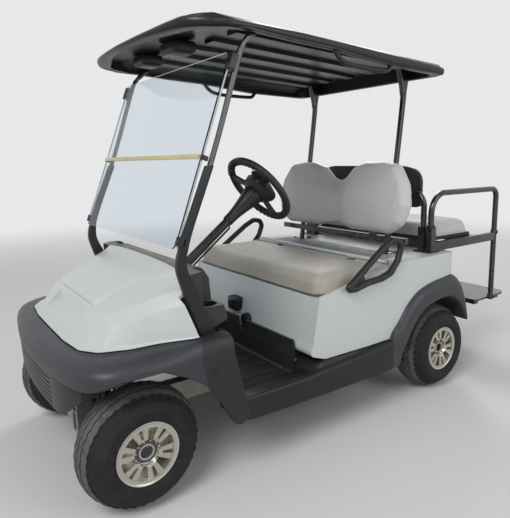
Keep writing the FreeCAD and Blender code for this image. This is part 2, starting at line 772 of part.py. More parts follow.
# below the seam, share of the way in from the widest line to the seam
FENDER_ROWS = [(400, 0.06), (66, 0.04), (46, 0.02), (26, 0.1), (10, 0.4), (2, 0.75), (0, 0.94)]


def front_fender():
    """Nose band with the wheel arches, running back to the rockers behind the wheels."""
    t = float(d.panel)
    seam = float(d.seam_height)
    grow = float(d.fender_half) - NOSE_PLAN[-1][1]

    def body(inset):
        wires = []
        for i, (drop, share) in enumerate(FENDER_ROWS):
            plan = half_plan(nose_blend(share), inset, inset - grow)
            slope = SEAM_SLOPE if i > 1 else 0.0
            wires.append(level(plan, seam - drop - (inset if i > 1 else 3 * inset), slope))
        return loft(wires, True)

    ledge = prism(*half_plan(SEAM_PLAN, 24, 24), seam - 70, seam + 60, "XY")
    shell = body(0.0).cut([body(t), ledge])
    band = prism(
        side_profile(
            [(300, d.fender_lip + 8), (160, d.fender_lip), (20, d.fender_lip + 6), (-100, d.fender_lip - 30),
             (-212, 436), (-268, 352), (-330, d.sill_base), (-352, d.sill_base), (-398, 262),
             (-384, 335), (-324, 577), (-245, 600), (-212, seam + 9), (300, seam + 9)]
        ),
        [0, 60, 90, 90, 90, 60, 0, 6, 10, 30, 40, 20, 0, 0],
        -620, 620,
    )
    back = bar((ahead(-420), ahead(-190)), (-d.strut_outer - 4, d.strut_outer + 4), (190, 700))
    return solids(shell.common(band).cut(back))


# plan outlines of the bonnet above the seam: height above the axle, slope, half outline
COWL_ROWS = [
    (615, -0.03, [(150, 0, 0), (149, 212, 60), (136, 345, 60), (96, 408, 60), (8, 464, 140), (-85, 486, 200),
                  (-192, 536, 200)]),
    (692, -0.28, [(108, 0, 0), (107, 214, 40), (100, 290, 60), (66, 395, 60), (-5, 452, 120), (-97, 468, 150),
                  (-160, 517, 100)]),
    (722, -0.36, [(86, 0, 0), (85, 207, 40), (78, 268, 60), (50, 345, 60), (-20, 395, 120), (-100, 418, 150),
                  (-165, 462, 100)]),
    (738, -0.47, [(64, 0, 0), (63, 204, 6), (58, 212, 6), (40, 214, 30), (-20, 222, 90), (-90, 240, 150),
                  (-165, 320, 100)]),
    (750, -0.46, [(66, 0, 0), (65, 190, 6), (60, 196, 6), (40, 198, 30), (-20, 202, 90), (-90, 215, 150),
                  (-165, 240, 100)]),
    (755, -0.46, [(66, 0, 0), (65, 60, 6), (60, 70, 6), (40, 80, 30), (-20, 90, 60), (-90, 100, 60),
                  (-165, 110, 60)]),
]
# half widths of those outlines at the rear edge
COWL_REAR = (538, 530, 475, 385, 270, 120)


def front_cowl():
    """Bonnet: an upright band, a shoulder and a raised middle panel that ends in the scoop."""
    t = float(d.panel)
    tail = float(d.cowl_tail)
    raised = float(d.cowl_top) - 858

    def body(inset, low):
        seat = [row for row in SEAM_PLAN[:-1]] + [(tail - low, 541, 0)]
        wires = [level(half_plan(seat, inset, inset), d.seam_height + d.fit_gap - 3 * low, SEAM_SLOPE)]
        for (height, slope, rows), rear in zip(COWL_ROWS, COWL_REAR):
            plan = half_plan(rows + [(tail - low, rear, 0)], inset, inset)
            wires.append(level(plan, height + raised - inset, slope))
        return loft(wires, True)

    outer = body(0.0, 0.0)
    step = float(d.scoop_deep)
    half = float(d.scoop_half)
    # from the lip down the recess, out along the shelf and up again ahead of the nose
    wedge = prism(
        side_profile([(56, 900), (64, 724), (66 + step, 655), (146, 619), (156, 660), (240, 900)]),
        0, -half - 60, half + 60,
    )
    mouth = prism(
        side_profile([(40, -half + 15), (66, -half + 15), (66 + step, -half), (150, -half - 25), (260, -half - 30),
                      (260, half + 30), (150, half + 25), (66 + step, half), (66, half - 15), (40, half - 15)]),
        0, 500, 950, "XY",
    )
    scoop = wedge.common(mouth)
    side = float(d.strut_outer - d.strut_side)
    notch = prism(strut_profile(STRUT_STATIONS, float(d.fit_gap)), 0, side - 0.3, 640)
    hollow = body(t, 1.0).cut(prism(
        side_profile([(40, 500), (40, 900), (64 - t, 724), (66 + step - t, 655 - t), (142, 618 - t), (260, 560),
                      (260, 500)])[1:-1] + side_profile([(260, 900)]), 0, -half - 40, half + 40,
    ))
    return solids(outer.cut([hollow, scoop, notch, mirrored(notch)]))


# half outlines of the bumper at its top and at its bottom edge
BUMPER_TOP = [(0, 0, 0), (-1, 300, 150), (-9, 408, 40), (-40, 503, 20), (-108, 514, 0)]
BUMPER_LOW = [(-6, 0, 0), (-7, 200, 150), (-15, 298, 40), (-64, 360, 20), (-108, 372, 0)]
BUMPER_ENDS = 190.0


def bumper_loft(inset, high):
    """The bumper's outside, drawn in, up to a height."""
    low = float(d.bumper_base)
    wires = []
    for rows, z, drawn in ((BUMPER_LOW, low, 7), (BUMPER_LOW, low + 20, 0), (BUMPER_TOP, high, 0)):
        moved = [(x + float(d.bumper_nose), y, r) for x, y, r in rows]
        wires.append(level(half_plan(moved, inset + drawn, inset + drawn if inset + drawn else 0.0), z - inset / 7))
    return loft(wires, True)


def front_bumper():
    """Grooved bumper tucked under the nose band, with raked ends that clear the steered tyres."""
    low, high = float(d.bumper_base), float(d.bumper_top)
    outer = bumper_loft(0.0, high)
    inner = bumper_loft(float(d.panel), high + 1)
    back = bar((ahead(100), ahead(BUMPER_ENDS)), (-600, 600), (low - 5, high + 5))
    skin = outer.cut(bumper_loft(float(d.groove), high + 1))
    grooves = []
    for i in range(6):
        z = low + 34 + 27 * i
        reach = 205 + 0.62 * (z - low)
        face = bar((ahead(215), ahead(300)), (-reach, reach), (z, z + 9))
        grooves.append(skin.common(face))
    shell = outer.cut([inner, back] + grooves)
    sweeps = []
    for side in (1, -1):
        middle = V(AXLE_FRONT, side * float(d.kingpin_half), d.tyre_radius)
        profile = [(0, 0)] + TYRE_SWEEP
        barrel = Part.Face(outline(profile, 0, 0.0, "XZ")).revolve(V(0, 0, 0), V(0, 0, 1), 360)
        barrel.translate(middle)
        sweeps.append(barrel)
    return solids(shell.cut(sweeps))


# reach from the kingpin and height above the axle that the turning tyre needs
TYRE_SWEEP = [(262, 0), (262, 72), (242, 107), (227, 134), (209, 159), (184, 184), (146, 209), (0, 240)]


def dashboard():
    """Dash between the struts with its side panels, two cubbies and two cup holders."""
    half = d.strut_outer - d.strut_side - d.fit_gap
    face = d.cowl_tail - d.fit_gap
    profile = side_profile(
        [(face, 640), (face - 36, 606), (-318, 620), (-372, 640), (-352, 700), (-345, 790), (-312, 838),
         (face - 40, d.cowl_top - 16), (face, d.cowl_top - 22)]
    )
    block_solid = prism(profile, [0, 10, 20, 16, 60, 30, 30, 10, 0], -half, half)
    t = 6.0
    cuts = []
    for y0, y1 in ((-430.0, -60.0), (20.0, 150.0)):
        cuts.append(bar((ahead(-400), ahead(-232)), (y0, y1), (690, 800)))
    for side in (1, -1):
        cx, cy = float(ahead(-306)), side * (float(half) - 52)
        cuts.append(Part.makeCylinder(d.cup_radius, 400, V(cx, cy, 640)))
        cuts.append(bar((cx - 80, cx + 43), (cy - 45, cy + 60), (700, 900)))
    axis = steering_axis()
    start = V(*WHEEL_CENTRE)
    bore = Part.makeCylinder(float(d.column_radius) + float(d.fit_gap), 900, start, axis * -1)
    cuts.append(bore)
    whole = block_solid.cut(cuts)
    return solids(whole)


def steering_axis():
    """Unit vector up the steering column, towards the driver."""
    a = math.radians(float(d.column_angle))
    return V(-math.cos(a), 0, math.sin(a))


WHEEL_CENTRE = (float(ahead(-704)), float(d.steer_y), 1122.0)


def steering_column():
    start = V(*WHEEL_CENTRE) - steering_axis() * COLUMN_LONG
    tube = Part.makeCylinder(d.column_radius, COLUMN_LONG - 60, start, steering_axis())
    shaft = Part.makeCylinder(d.shaft_radius, COLUMN_LONG - 14, start, steering_axis())
    neck = start + steering_axis() * (COLUMN_LONG - 170)
    boot = Part.makeCone(d.column_radius, 44, 118, neck, steering_axis())
    return merged([tube, shaft, boot])


COLUMN_LONG = 660.0


def steering_wheel():
    """Rim, three spokes and the hub with its clipboard, turned to the column's axis."""
    rim = Part.makeTorus(d.steer_radius, d.steer_tube)
    hub = Part.makeCone(48, 40, 46, V(0, 0, -34))
    reach = float(d.steer_radius)
    parts = [rim, hub]
    for angle in (0, 120, 240):
        spoke = prism(
            [(-14, 20), (14, 20), (20, reach), (-20, reach)], 0, -12, -2, "XY"
        )
        spoke.rotate(V(0, 0, 0), V(0, 0, 1), angle + 90)
        parts.append(spoke)
    board = prism([(-52, -62), (60, -62), (60, 62), (-52, 62)], 18, 6, 20, "XY")
    parts.append(board)
    whole = merged(parts)
    hole = Part.makeCylinder(d.shaft_radius + d.running_gap, 36, V(0, 0, -36))
    whole = whole.cut(hole)
    whole.rotate(V(0, 0, 0), V(0, 1, 0), float(d.column_angle) - 90)
    whole.translate(V(*WHEEL_CENTRE))
    return whole


def toe_board(z):
    """X just behind the toe board's face at a height."""
    (low_x, low_z), (high_x, high_z) = TOE_LINE
    return ahead(low_x + (high_x - low_x) * (z - low_z) / (high_z - low_z)) - 0.35


def pedals():
    """Brake and accelerator pads hanging on arms from the toe board."""
    parts = []
    for y, wide, high in ((196.0, 118.0, 66.0), (330.0, 62.0, 120.0)):
        pad = bar((ahead(-470), ahead(-458)), (y - wide / 2, y + wide / 2), (400 - high / 2, 400 + high / 2))
        foot = [(x, z) for x, z in ((toe_board(408), 408), (toe_board(390), 390))]
        arm = prism([(ahead(-459), 390), (ahead(-459), 408)] + foot, 0, y - 9, y + 9)
        parts.append(merged([pad, arm]))
    return parts


# Screen, struts and roof


def sloped_sheet(low, high, half_low, half_high, thick, corner):
    """A flat sheet whose lower and upper edges are at (distance ahead of the axle, height)."""
    dx, dz = high[0] - low[0], high[1] - low[1]
    rise = math.hypot(dx, dz)
    points = [(-half_low, 0), (half_low, 0), (half_high, rise), (-half_high, rise)]
    sheet_solid = prism(points, corner, 0, thick, "YZ")
    sheet_solid.rotate(V(0, 0, 0), V(0, 1, 0), math.degrees(math.atan2(dx, dz)))
    sheet_solid.translate(V(ahead(low[0]), 0, low[1]))
    return sheet_solid


SCREEN_LOW = (-150.0, 940.0)
SCREEN_MID = (-269.0, 1266.0)
SCREEN_TOP = (-406.0, 1640.0)


def between(a, b, share):
    return (a[0] + (b[0] - a[0]) * share, a[1] + (b[1] - a[1]) * share)


def screen_panels():
    """Lower and upper sheets of the screen, which meet at the hinge strip."""
    half, thick = float(d.screen_half), float(d.screen_thick)
    lower = sloped_sheet(SCREEN_LOW, between(SCREEN_LOW, SCREEN_MID, 0.996), half, half, thick, [30, 30, 4, 4])
    upper = sloped_sheet(between(SCREEN_MID, SCREEN_TOP, 0.004), SCREEN_TOP, half, half - 6, thick, [4, 4, 30, 30])
    return lower, upper


# ahead of the front axle, height, depth along X
STRUT_STATIONS = [
    (-470, 1790, 50), (-450, 1672, 46), (-309, 1233, 46), (-194, 985, 48), (-163, 905, 52),
    (-159, 856, 52), (-196, 765, 72), (-228, 680, 76), (-268, 553, 68),
]


def strut_profile(stations, grow=0.0):
    front = [(ahead(x + deep / 2 + grow), z) for x, z, deep in stations]
    rear = [(ahead(x - deep / 2 - grow), z) for x, z, deep in reversed(stations)]
    return front + rear


def screen_hinge():
    """Hinge strip across the middle of the screen."""
    low = between(SCREEN_LOW, SCREEN_MID, 0.975)
    high = between(SCREEN_MID, SCREEN_TOP, 0.02)
    front = (float(d.screen_thick) + 2 * float(d.fit_gap)) / math.cos(math.radians(20))
    reach = float(d.screen_half) - 4
    return sloped_sheet((low[0] + front, low[1]), (high[0] + front, high[1]), reach, reach, 5, 4)


def screen_clips():
    """Clips that seat the screen's sheets on the struts, four on each side."""
    thick = float(d.screen_thick)
    gap = float(d.fit_gap)
    parts = []
    strut_grown = prism(strut_profile(STRUT_STATIONS, gap), 0, 400, 600)
    for z in CLIP_HEIGHTS:
        a, b = (SCREEN_LOW, SCREEN_MID) if z < SCREEN_MID[1] else (SCREEN_MID, SCREEN_TOP)
        share = (z - a[1]) / (b[1] - a[1])
        x = between(a, b, share)[0]
        slab = sloped_sheet((a[0] - gap, a[1]), (b[0] - gap, b[1]), 600, 600, thick + 2 * gap, 0)
        middle = float(d.strut_outer - d.strut_side / 2)
        clip = bar((ahead(x - 60), ahead(x + 2)), (middle - 14, middle + 14), (z - 13, z + 13))
        clip = clip.cut([slab, strut_grown])
        for piece in clip.Solids:
            if piece.CenterOfMass.x < float(ahead(x)) - 1:
                parts += [piece, mirrored(piece)]
    return Part.makeCompound(parts)


CLIP_HEIGHTS = (1030.0, 1200.0, 1340.0, 1600.0)

# the roof's middle line on top: ahead of the front axle, height
ROOF_LINE = [(-160, 1722), (-232, 1752), (-404, 1767), (-712, 1766), (-1092, 1751), (-1572, 1731), (-1645, 1722)]
# its side's lower edge
ROOF_EDGE = [(-1645, 1662), (-1208, 1668), (-868, 1696), (-657, 1703), (-475, 1714), (-160, 1714)]
ROOF_SLOPE = 1.85


def ceiling(extra):
    """Everything under the roof, up to this far below its top."""
    top = side_profile([(x, z - extra) for x, z in ROOF_LINE])
    side = prism(top + side_profile([(-1900, 300), (100, 300)]), 0, -600, 600)
    return side.common(roof_view(float(d.roof_rim), extra, 1600.0))


def front_struts():
    points = strut_profile(STRUT_STATIONS)
    n = len(points)
    radii = [0.0] + [60.0] * (n // 2 - 2) + [14.0, 14.0] + [60.0] * (n // 2 - 2) + [0.0]
    strut = prism(points, radii, d.strut_outer - d.strut_side, d.strut_outer)
    strut = strut.common(ceiling(float(d.roof_skin + d.fit_gap)))
    # shadow slot down the cover's outer face
    slot = prism(side_profile([(-176, 800), (-188, 800), (-256, 590), (-244, 590)]), 5, d.strut_outer - 9,
                 d.strut_outer + 5)
    return both(strut.cut(slot))


# ahead of the front axle, height, depth along X
POST_STATIONS = [
    (-1572, 1800, 62), (-1572, 1700, 60), (-1578, 1630, 42), (-1534, 1241, 38),
    (-1463, float(d.deck_height) + 0.3, 38),
]


def post_front(z):
    """X of a rear post's front face at a height below its bend."""
    (high_x, high_z, deep), (low_x, low_z, _) = POST_STATIONS[3:]
    return ahead(low_x + (high_x - low_x) * (z - low_z) / (high_z - low_z) + deep / 2)


def rear_struts():
    half = float(d.post_size) / 2
    points = strut_profile(POST_STATIONS)
    strut = prism(points, [0, 60, 60, 60, 0, 0, 60, 60, 60, 0], d.post_half - half, d.post_half + half)
    strut = strut.common(ceiling(float(d.roof_skin + d.fit_gap)))
    plate = bar((ahead(-1505), ahead(-1425)), (d.post_half - 45, d.post_half + 45),
                (d.deck_height + 0.3, d.deck_height + 8))
    return both(merged([strut, plate]))


def roof_plan(inset, low, high):
    half = d.roof_half - inset
    nose = ahead(d.roof_nose - inset)
    tail = behind(d.roof_tail + inset)
    points = [
        (tail, -half + 8), (ahead(-900), -half), (ahead(-420), -half), (ahead(-262) - inset, -half + 74),
        (nose - 18, -190), (nose, 0), (nose - 18, 190), (ahead(-262) - inset, half - 74),
        (ahead(-420), half), (ahead(-900), half), (tail, half - 8),
    ]
    radii = [70, 300, 150, 110, 500, 600, 500, 110, 150, 300, 70]
    return prism(points, radii, low, high, "XY")


def roof_view(inset, drop, deep=170.0):
    """Front view of the roof, swept back along its slope, shrunk by an inset."""
    half, crown = float(d.roof_half) + 1.5 - inset, float(d.roof_crown) - drop
    points = [
        (-half, crown - deep), (half, crown - deep), (half, crown - 34), (half - 60, crown - 3), (0, crown + 6),
        (-half + 60, crown - 3), (-half, crown - 34),
    ]
    view = prism(points, [0, 0, 40, 90, 0, 90, 40], ahead(-1800), ahead(0), "YZ")
    view.rotate(V(ahead(-404), 0, crown), V(0, 1, 0), -ROOF_SLOPE)
    return view


def roof():
    """Moulded roof, hollow from below, with a thick rim, a crowned top and lengthwise ribs."""
    radii = [0, 90, 400, 900, 900, 900, 20, 0, 300, 300, 300, 200, 4]
    side_outer = prism(side_profile(ROOF_LINE + ROOF_EDGE), radii, -600, 600)
    outer = roof_plan(0.0, 1600, 1800).common(side_outer).common(roof_view(0.0, 0.0))
    skin = float(d.roof_skin)
    floor_pts = [(-1700, 1600), (-100, 1600)]

    def hollow(extra):
        side = prism(side_profile([(x, z - skin - extra) for x, z in ROOF_LINE] + floor_pts), 0, -600, 600)
        plan = roof_plan(float(d.roof_rim), 1590, 1800)
        return plan.common(side).common(roof_view(float(d.roof_rim), skin + extra))

    shell = outer.cut(hollow(0.0))
    ribs = []
    for i in range(5):
        y = -360 + 180 * i
        rib = prism([(y - 26, 1690), (y + 26, 1690), (y + 44, 1800), (y - 44, 1800)], 0, ahead(-1530), ahead(-500),
                    "YZ")
        ribs.append(rib.common(outer).cut(hollow(14.0)))
    return solids(merged([shell] + ribs))


def roof_pods():
    """Two slim boxes hung under the front of the roof."""
    hang = ceiling(float(d.roof_skin + d.fit_gap))
    boxes = []
    for y in (-250.0, 60.0):
        box = prism([(y - 90, 1700), (y + 90, 1700), (y + 100, 1790), (y - 100, 1790)], [14, 14, 0, 0],
                    ahead(-470), ahead(-350), "YZ")
        boxes.append(box.common(hang))
    return Part.makeCompound(boxes)


# Seat pod and what sits on it

RECESS = d.cushion_half + d.swing_gap
LID_BACK = behind(414)
POD_BASE = d.sill_top + d.fit_gap
HINGE_X = behind(424)
HINGE_Z = d.deck_height + 4


def pod_plan(grow, low, high):
    half = d.pod_half + grow
    front, tail = behind(d.pod_front + 70), behind(d.pod_tail - grow)
    points = [(front, -half + 18), (front, half - 18), (behind(560), half), (tail, half), (tail, -half),
              (behind(560), -half)]
    return prism(points, [30, 30, 400, 130 + float(grow), 130 + float(grow), 400], low, high, "XY")


def pod_side(inset):
    """Side outline of the pod, shrunk by an inset."""
    ledge, deck = d.ledge_height, d.deck_height
    front, tail = d.pod_front, d.pod_tail
    down = inset * 9 if inset > 0 else -inset
    pts = [
        (front - 46 - inset, POD_BASE - down), (front + 42 - inset, POD_BASE + 30 - down),
        (front + 22 - inset, 455), (front - 14 - inset, ledge + 7 - inset), (front - 173, ledge + 34 - inset),
        (414, deck - 8 - inset), (334, deck - inset), (tail + 130, deck - inset),
        (tail + 26 + inset, deck - 6 - inset), (tail + inset, 640), (tail + 8 + inset, POD_BASE - down),
    ]
    return [(behind(x), z) for x, z in pts]


POD_RADII = [20, 24, 60, 16, 200, 60, 60, 60, 24, 60, 30]


def seat_pod():
    """Light body shell over the batteries: ledge for the bench, deck behind it, open wheel bays."""
    t = float(d.panel)
    outer = prism(pod_side(0), POD_RADII, -600, 600).common(pod_plan(0, 300, 900))
    inner = prism(pod_side(t), 0, -600, 600).common(pod_plan(-t, 200, 900))
    recess = bar((LID_BACK, behind(d.pod_front + 80)), (-RECESS, RECESS), (d.ledge_height, 900))
    under = bar((LID_BACK - t, behind(d.pod_front + 80)), (-RECESS - t, RECESS + t), (d.ledge_height - t, 900))
    shell = outer.cut(recess).cut(inner.cut(under))
    bay = prism([(behind(d.pod_front - 70), -400), (behind(d.pod_front - 70), 400), (LID_BACK + 36, 400),
                 (LID_BACK + 36, -400)], 20, d.ledge_height - 30, d.ledge_height + 10, "XY")
    x, z = float(AXLE_REAR), float(d.tyre_radius)
    arches = []
    for start in (370.0, -700.0):
        arches.append(Part.makeCylinder(float(d.arch_radius) + 14, 330, V(x, start, z), V(0, 1, 0)))
    cup = Part.makeCylinder(d.socket_radius, 40, V(behind(d.pod_front + 40), *CHARGE_PORT), V(-1, 0, 0))
    reach = float(d.rail_width) / 2 + 3
    notches = [
        bar((behind(d.pod_tail - 5), behind(d.pod_tail + 30)), (side * d.rail_half - reach, side * d.rail_half + reach),
            (300, RAIL_TOP + d.rail_rise + d.fit_gap))
        for side in (1, -1)
    ]
    shell = shell.cut([bay, cup] + arches + notches)
    lugs = []
    for y in HINGE_PLACES:
        for side in (-1, 1):
            mid = y + side * 27
            lug = prism([(LID_BACK - 26, d.deck_height - 14), (LID_BACK - 2, d.deck_height - 14),
                         (HINGE_X + 6, HINGE_Z + 5), (HINGE_X - 8, HINGE_Z + 5)], [0, 0, 5, 5], mid - 4, mid + 4)
            lugs.append(lug)
        pin = Part.makeCylinder(LID_PIN, 60, V(HINGE_X, y - 30, HINGE_Z), V(0, 1, 0))
        lugs.append(pin)
    return solids(merged([shell] + lugs))


HINGE_PLACES = (-300.0, 300.0)
LID_PIN = 3.0


def cushion_base():
    """Board under the bench cushion with the two strap hinges at its rear edge."""
    front = LID_BACK + 15 + d.cushion_depth
    low = d.ledge_height + d.fit_gap
    board = prism([(LID_BACK + 15, -500), (front - 20, -500), (front - 20, 500), (LID_BACK + 15, 500)], 20,
                  low, low + 12, "XY")
    parts = [board]
    for y in HINGE_PLACES:
        strap = bar((LID_BACK + 10, LID_BACK + 14), (y - 20, y + 20), (low, HINGE_Z - 2))
        toe = bar((LID_BACK + 10, LID_BACK + 40), (y - 20, y + 20), (low, low + 4))
        eye = Part.makeCylinder(LID_PIN + 3.5, 40, V(HINGE_X, y - 20, HINGE_Z), V(0, 1, 0))
        arm = bar((HINGE_X, LID_BACK + 14), (y - 20, y + 20), (HINGE_Z - 6, HINGE_Z - 2))
        parts += [strap, toe, eye, arm]
    whole = merged(parts)
    for y in HINGE_PLACES:
        bore = Part.makeCylinder(LID_PIN + float(d.running_gap), 50, V(HINGE_X, y - 25, HINGE_Z), V(0, 1, 0))
        whole = whole.cut(bore)
    return whole


def front_cushion():
    low = d.ledge_height + d.fit_gap + 12 + d.fit_gap
    high = d.ledge_height + d.cushion_thick
    rear, front = LID_BACK + 15 + d.fit_gap, LID_BACK + 15 + d.cushion_depth
    side = prism([(rear, low), (front - 12, low), (front, low + 30), (front - 30, high), (rear + 30, high),
                  (rear, high - 18)], [4, 10, 24, 40, 30, 16], -d.cushion_half, d.cushion_half)
    plan = prism([(rear, -d.cushion_half), (front + 1, -d.cushion_half), (front + 1, d.cushion_half),
                  (rear, d.cushion_half)], [30, 70, 70, 30], low - 1, high + 1, "XY")
    return side.common(plan)


def leaned(shape, pivot_x, pivot_z, angle):
    """A piece built upright, leaned back about a line across the cart."""
    shape.rotate(V(pivot_x, 0, pivot_z), V(0, 1, 0), -float(angle))
    return shape


BACK_FACE = ahead(-1360)


def front_backrest():
    """Two-lobe backrest, facing forward."""
    half, base = float(d.back_half), float(d.back_base)
    top = base + float(d.back_height)
    right = [(34, base + 16), (110, base), (half - 70, base + 8), (half, base + 130), (half - 40, top - 70),
             (half - 190, top), (120, top - 20), (34, top - 68)]
    points = right + [(-u, v) for u, v in reversed(right)]
    radii = [30, 60, 110, 140, 120, 130, 70, 40]
    shape = prism(points, radii + radii[::-1], BACK_FACE - d.back_thick, BACK_FACE, "YZ")
    return leaned(shape, BACK_FACE, d.back_base, d.back_lean)


def backrest_frame():
    """Cross tube in front of the roof posts, with flat uprights behind the backrest."""
    low = float(d.back_base) - 52
    face = post_front(low) + d.fit_gap
    cross = bar((face, face + 24), (-500, 500), (low, low + 30))
    rear = BACK_FACE - d.back_thick - d.fit_gap
    parts = [cross]
    for y in (-264.0, 264.0):
        upright = bar((rear - 6, rear), (y - 25, y + 25), (low + 2, d.back_base + 240))
        parts.append(leaned(upright, BACK_FACE, d.back_base, d.back_lean))
        parts.append(bar((rear - 6, face + 10), (y - 25, y + 25), (low + 20, low + 30)))
    return merged(parts)


def armrest():
    """Left hip restraint: a closed loop bolted to the pod's side."""
    outer = side_profile([(-922, 690), (-1000, 748), (-1081, 796), (-1174, 856), (-1234, 884), (-1290, 876),
                          (-1326, 838), (-1290, 752), (-1232, 696), (-1043, 672), (-952, 660)])
    inner = side_profile([(-1034, 719), (-1084, 752), (-1146, 806), (-1228, 842), (-1254, 828), (-1244, 792),
                          (-1192, 738), (-1110, 728)])
    low, high = d.pod_half + d.fit_gap, d.pod_half + 30
    loop = prism(outer, [22, 60, 60, 90, 30, 30, 34, 60, 50, 40, 20], low, high)
    return loop.cut(prism(inner, [8, 30, 60, 24, 12, 30, 40, 30], low - 1, high + 1))


def rear_flare():
    """Left rear arch flare: a half ring that tucks in behind the wheel."""
    x, z = float(AXLE_REAR), float(d.tyre_radius)
    base = float(d.arch_radius)
    full = float(d.flare_width)

    def at(radius, angle):
        turn = math.radians(angle)
        return (x + radius * math.cos(turn), z + radius * math.sin(turn))

    # angle from straight ahead, share of the full flare width
    stations = [(0.5, 1.06), (22, 1.17), (44, 1.16), (66, 1.04), (90, 1.0), (112, 0.98), (134, 0.72), (152, 0.34)]
    outer = [at(base + full * share, angle) for angle, share in stations]
    inner = [at(base, angle) for angle in (152, 120, 90, 60, 30, 0.5)]
    ring = prism(outer + inner, [8] + [150] * 6 + [14, 14] + [base] * 4 + [8], d.pod_half - 60, d.pod_half + 35)
    inside = pod_plan(float(d.fit_gap), 100, 900)
    skin = ring.common(pod_plan(35.0, 150, 900)).cut(inside)
    return solids(skin)


# Rear seat

LEG_FRONT = behind(d.rail_front)
LEG_REAR = behind(d.rail_rear)
BAR_TOP = d.bar_base + d.bar_high
BOARD_LOW = BAR_TOP + d.fit_gap
FLIP_X = behind(-456)
FLIP_Z = BAR_TOP + 6
FLIP_PLACES = (-300.0, 300.0)


def rear_seat_frame():
    """Side bars on square sockets, cross bars under the seat and the flip hinge's lugs."""
    parts = []
    foot = d.deck_height + d.fit_gap
    size = float(d.socket) / 2
    legs = [side * float(y) for side in (1, -1) for y in (d.rail_y, d.hoop_y)]
    for side in (1, -1):
        ys = sorted((float(side * (d.rail_y - d.bar_wide / 2)), float(side * (d.rail_y + d.bar_wide / 2))))
        rear_end = LEG_REAR + d.tube / 2 + d.fit_gap
        parts.append(bar((rear_end, LEG_FRONT), ys, (d.bar_base, BAR_TOP)))
        reach = sorted((side * (float(d.hoop_y) - 36), side * (float(d.rail_y) + 30)))
        parts.append(bar((LEG_FRONT - 40, LEG_FRONT + 40), reach, (foot, foot + 6)))
    for y in legs:
        parts.append(bar((LEG_FRONT - size, LEG_FRONT + size), (y - size, y + size), (foot, d.socket_top)))
    inner = d.rail_y - d.bar_wide / 2
    for x in (behind(-70), behind(-424)):
        parts.append(bar((x - 13, x + 13), (-inner - 1, inner + 1), (d.bar_base, BAR_TOP)))
    for y in FLIP_PLACES:
        for side in (-1, 1):
            mid = y + side * 35
            lug = prism([(behind(-430), BAR_TOP - 26), (behind(-430), BAR_TOP), (behind(-439), BAR_TOP),
                         (FLIP_X + 4, FLIP_Z + 8), (FLIP_X - 8, FLIP_Z + 6), (FLIP_X - 8, FLIP_Z - 8)],
                        [0, 0, 0, 5, 5, 5], mid - 4, mid + 4)
            parts.append(lug)
        parts.append(Part.makeCylinder(d.flip_pin, 78, V(FLIP_X, y - 39, FLIP_Z), V(0, 1, 0)))
    whole = merged(parts)
    bore = d.tube / 2 + d.running_gap
    return whole.cut([Part.makeCylinder(bore, 400, V(LEG_FRONT, y, foot + 12)) for y in legs])


def rear_seat_base():
    """Board of the rear seat with the two hinge eyes at its rear edge."""
    rear = behind(-438)
    front = rear + d.rear_depth
    parts = [prism([(rear, -d.rear_half), (front, -d.rear_half), (front, d.rear_half), (rear, d.rear_half)], 24,
                   BOARD_LOW, BOARD_LOW + d.base_thick, "XY")]
    for y in FLIP_PLACES:
        eye = Part.makeCylinder(float(d.flip_pin) + 4, 56, V(FLIP_X, y - 28, FLIP_Z), V(0, 1, 0))
        strap = bar((FLIP_X, rear + 6), (y - 28, y + 28), (FLIP_Z + 1, FLIP_Z + 8))
        parts += [eye, strap]
    whole = merged(parts)
    bores = [
        Part.makeCylinder(d.flip_pin + d.running_gap, 70, V(FLIP_X, y - 35, FLIP_Z), V(0, 1, 0))
        for y in FLIP_PLACES
    ]
    return whole.cut(bores)


def rear_cushion():
    low = BOARD_LOW + d.base_thick + d.fit_gap
    high = low + d.rear_thick
    rear, front = behind(-432), behind(-438) + d.rear_depth
    half = d.rear_half - 2
    side = prism([(rear, low), (front - 6, low), (front, low + 20), (front - 16, high), (rear + 40, high),
                  (rear - 4, high - 40)], [4, 6, 30, 44, 50, 40], -half, half)
    plan = prism([(rear - 5, -half), (front, -half), (front, half), (rear - 5, half)], 60, low - 1, high + 1, "XY")
    return side.common(plan)


def rear_back_outline(inset):
    """Front view of the rear backrest, shrunk by an inset, with its corner radii."""
    half = float(d.rear_back_half) - inset
    base = float(d.rear_back_base) + inset
    top = float(d.rear_back_base) + float(d.rear_back_high) - inset
    points = [(-half, base + 10), (-half + 30, base), (half - 30, base), (half, base + 10), (half, top - 30),
              (half - 120, top), (-half + 120, top), (-half, top - 30)]
    return points, [40, 40, 40, 40, 90, 200, 200, 90]


BACK_PLANE = LEG_FRONT - d.tube / 2 - d.fit_gap


def rear_back_shell():
    """Dark tray behind the rear backrest's pad, bolted to the hoop."""
    points, radii = rear_back_outline(0.0)
    return prism(points, radii, BACK_PLANE - d.rear_back_shell, BACK_PLANE, "YZ")


def rear_back_pad():
    points, radii = rear_back_outline(5.0)
    face = BACK_PLANE - d.rear_back_shell - d.fit_gap
    return prism(points, radii, face - d.rear_back_pad, face, "YZ")


def grab_rail():
    """Left grab rail: one bent tube from its socket on the deck down to the foot plate."""
    foot = float(d.deck_height + d.fit_gap) + 12.3
    low = float(d.plate_top - d.plate_thick)
    y = float(d.rail_y)
    path = [(LEG_FRONT, y, foot), (LEG_FRONT, y, d.grab_top), (LEG_REAR, y, d.grab_top), (LEG_REAR, y, low)]
    return pipe(path, [110, 48], d.tube / 2, d.tube_wall)


def back_hoop():
    """Hoop over the rear seat's front edge, which carries the rear backrest."""
    foot = float(d.deck_height + d.fit_gap) + 12.3
    y = float(d.hoop_y)
    top = d.grab_top + 8
    path = [(LEG_FRONT, y, foot), (LEG_FRONT, y, top), (LEG_FRONT, -y, top), (LEG_FRONT, -y, foot)]
    return pipe(path, 82, d.tube / 2, d.tube_wall)


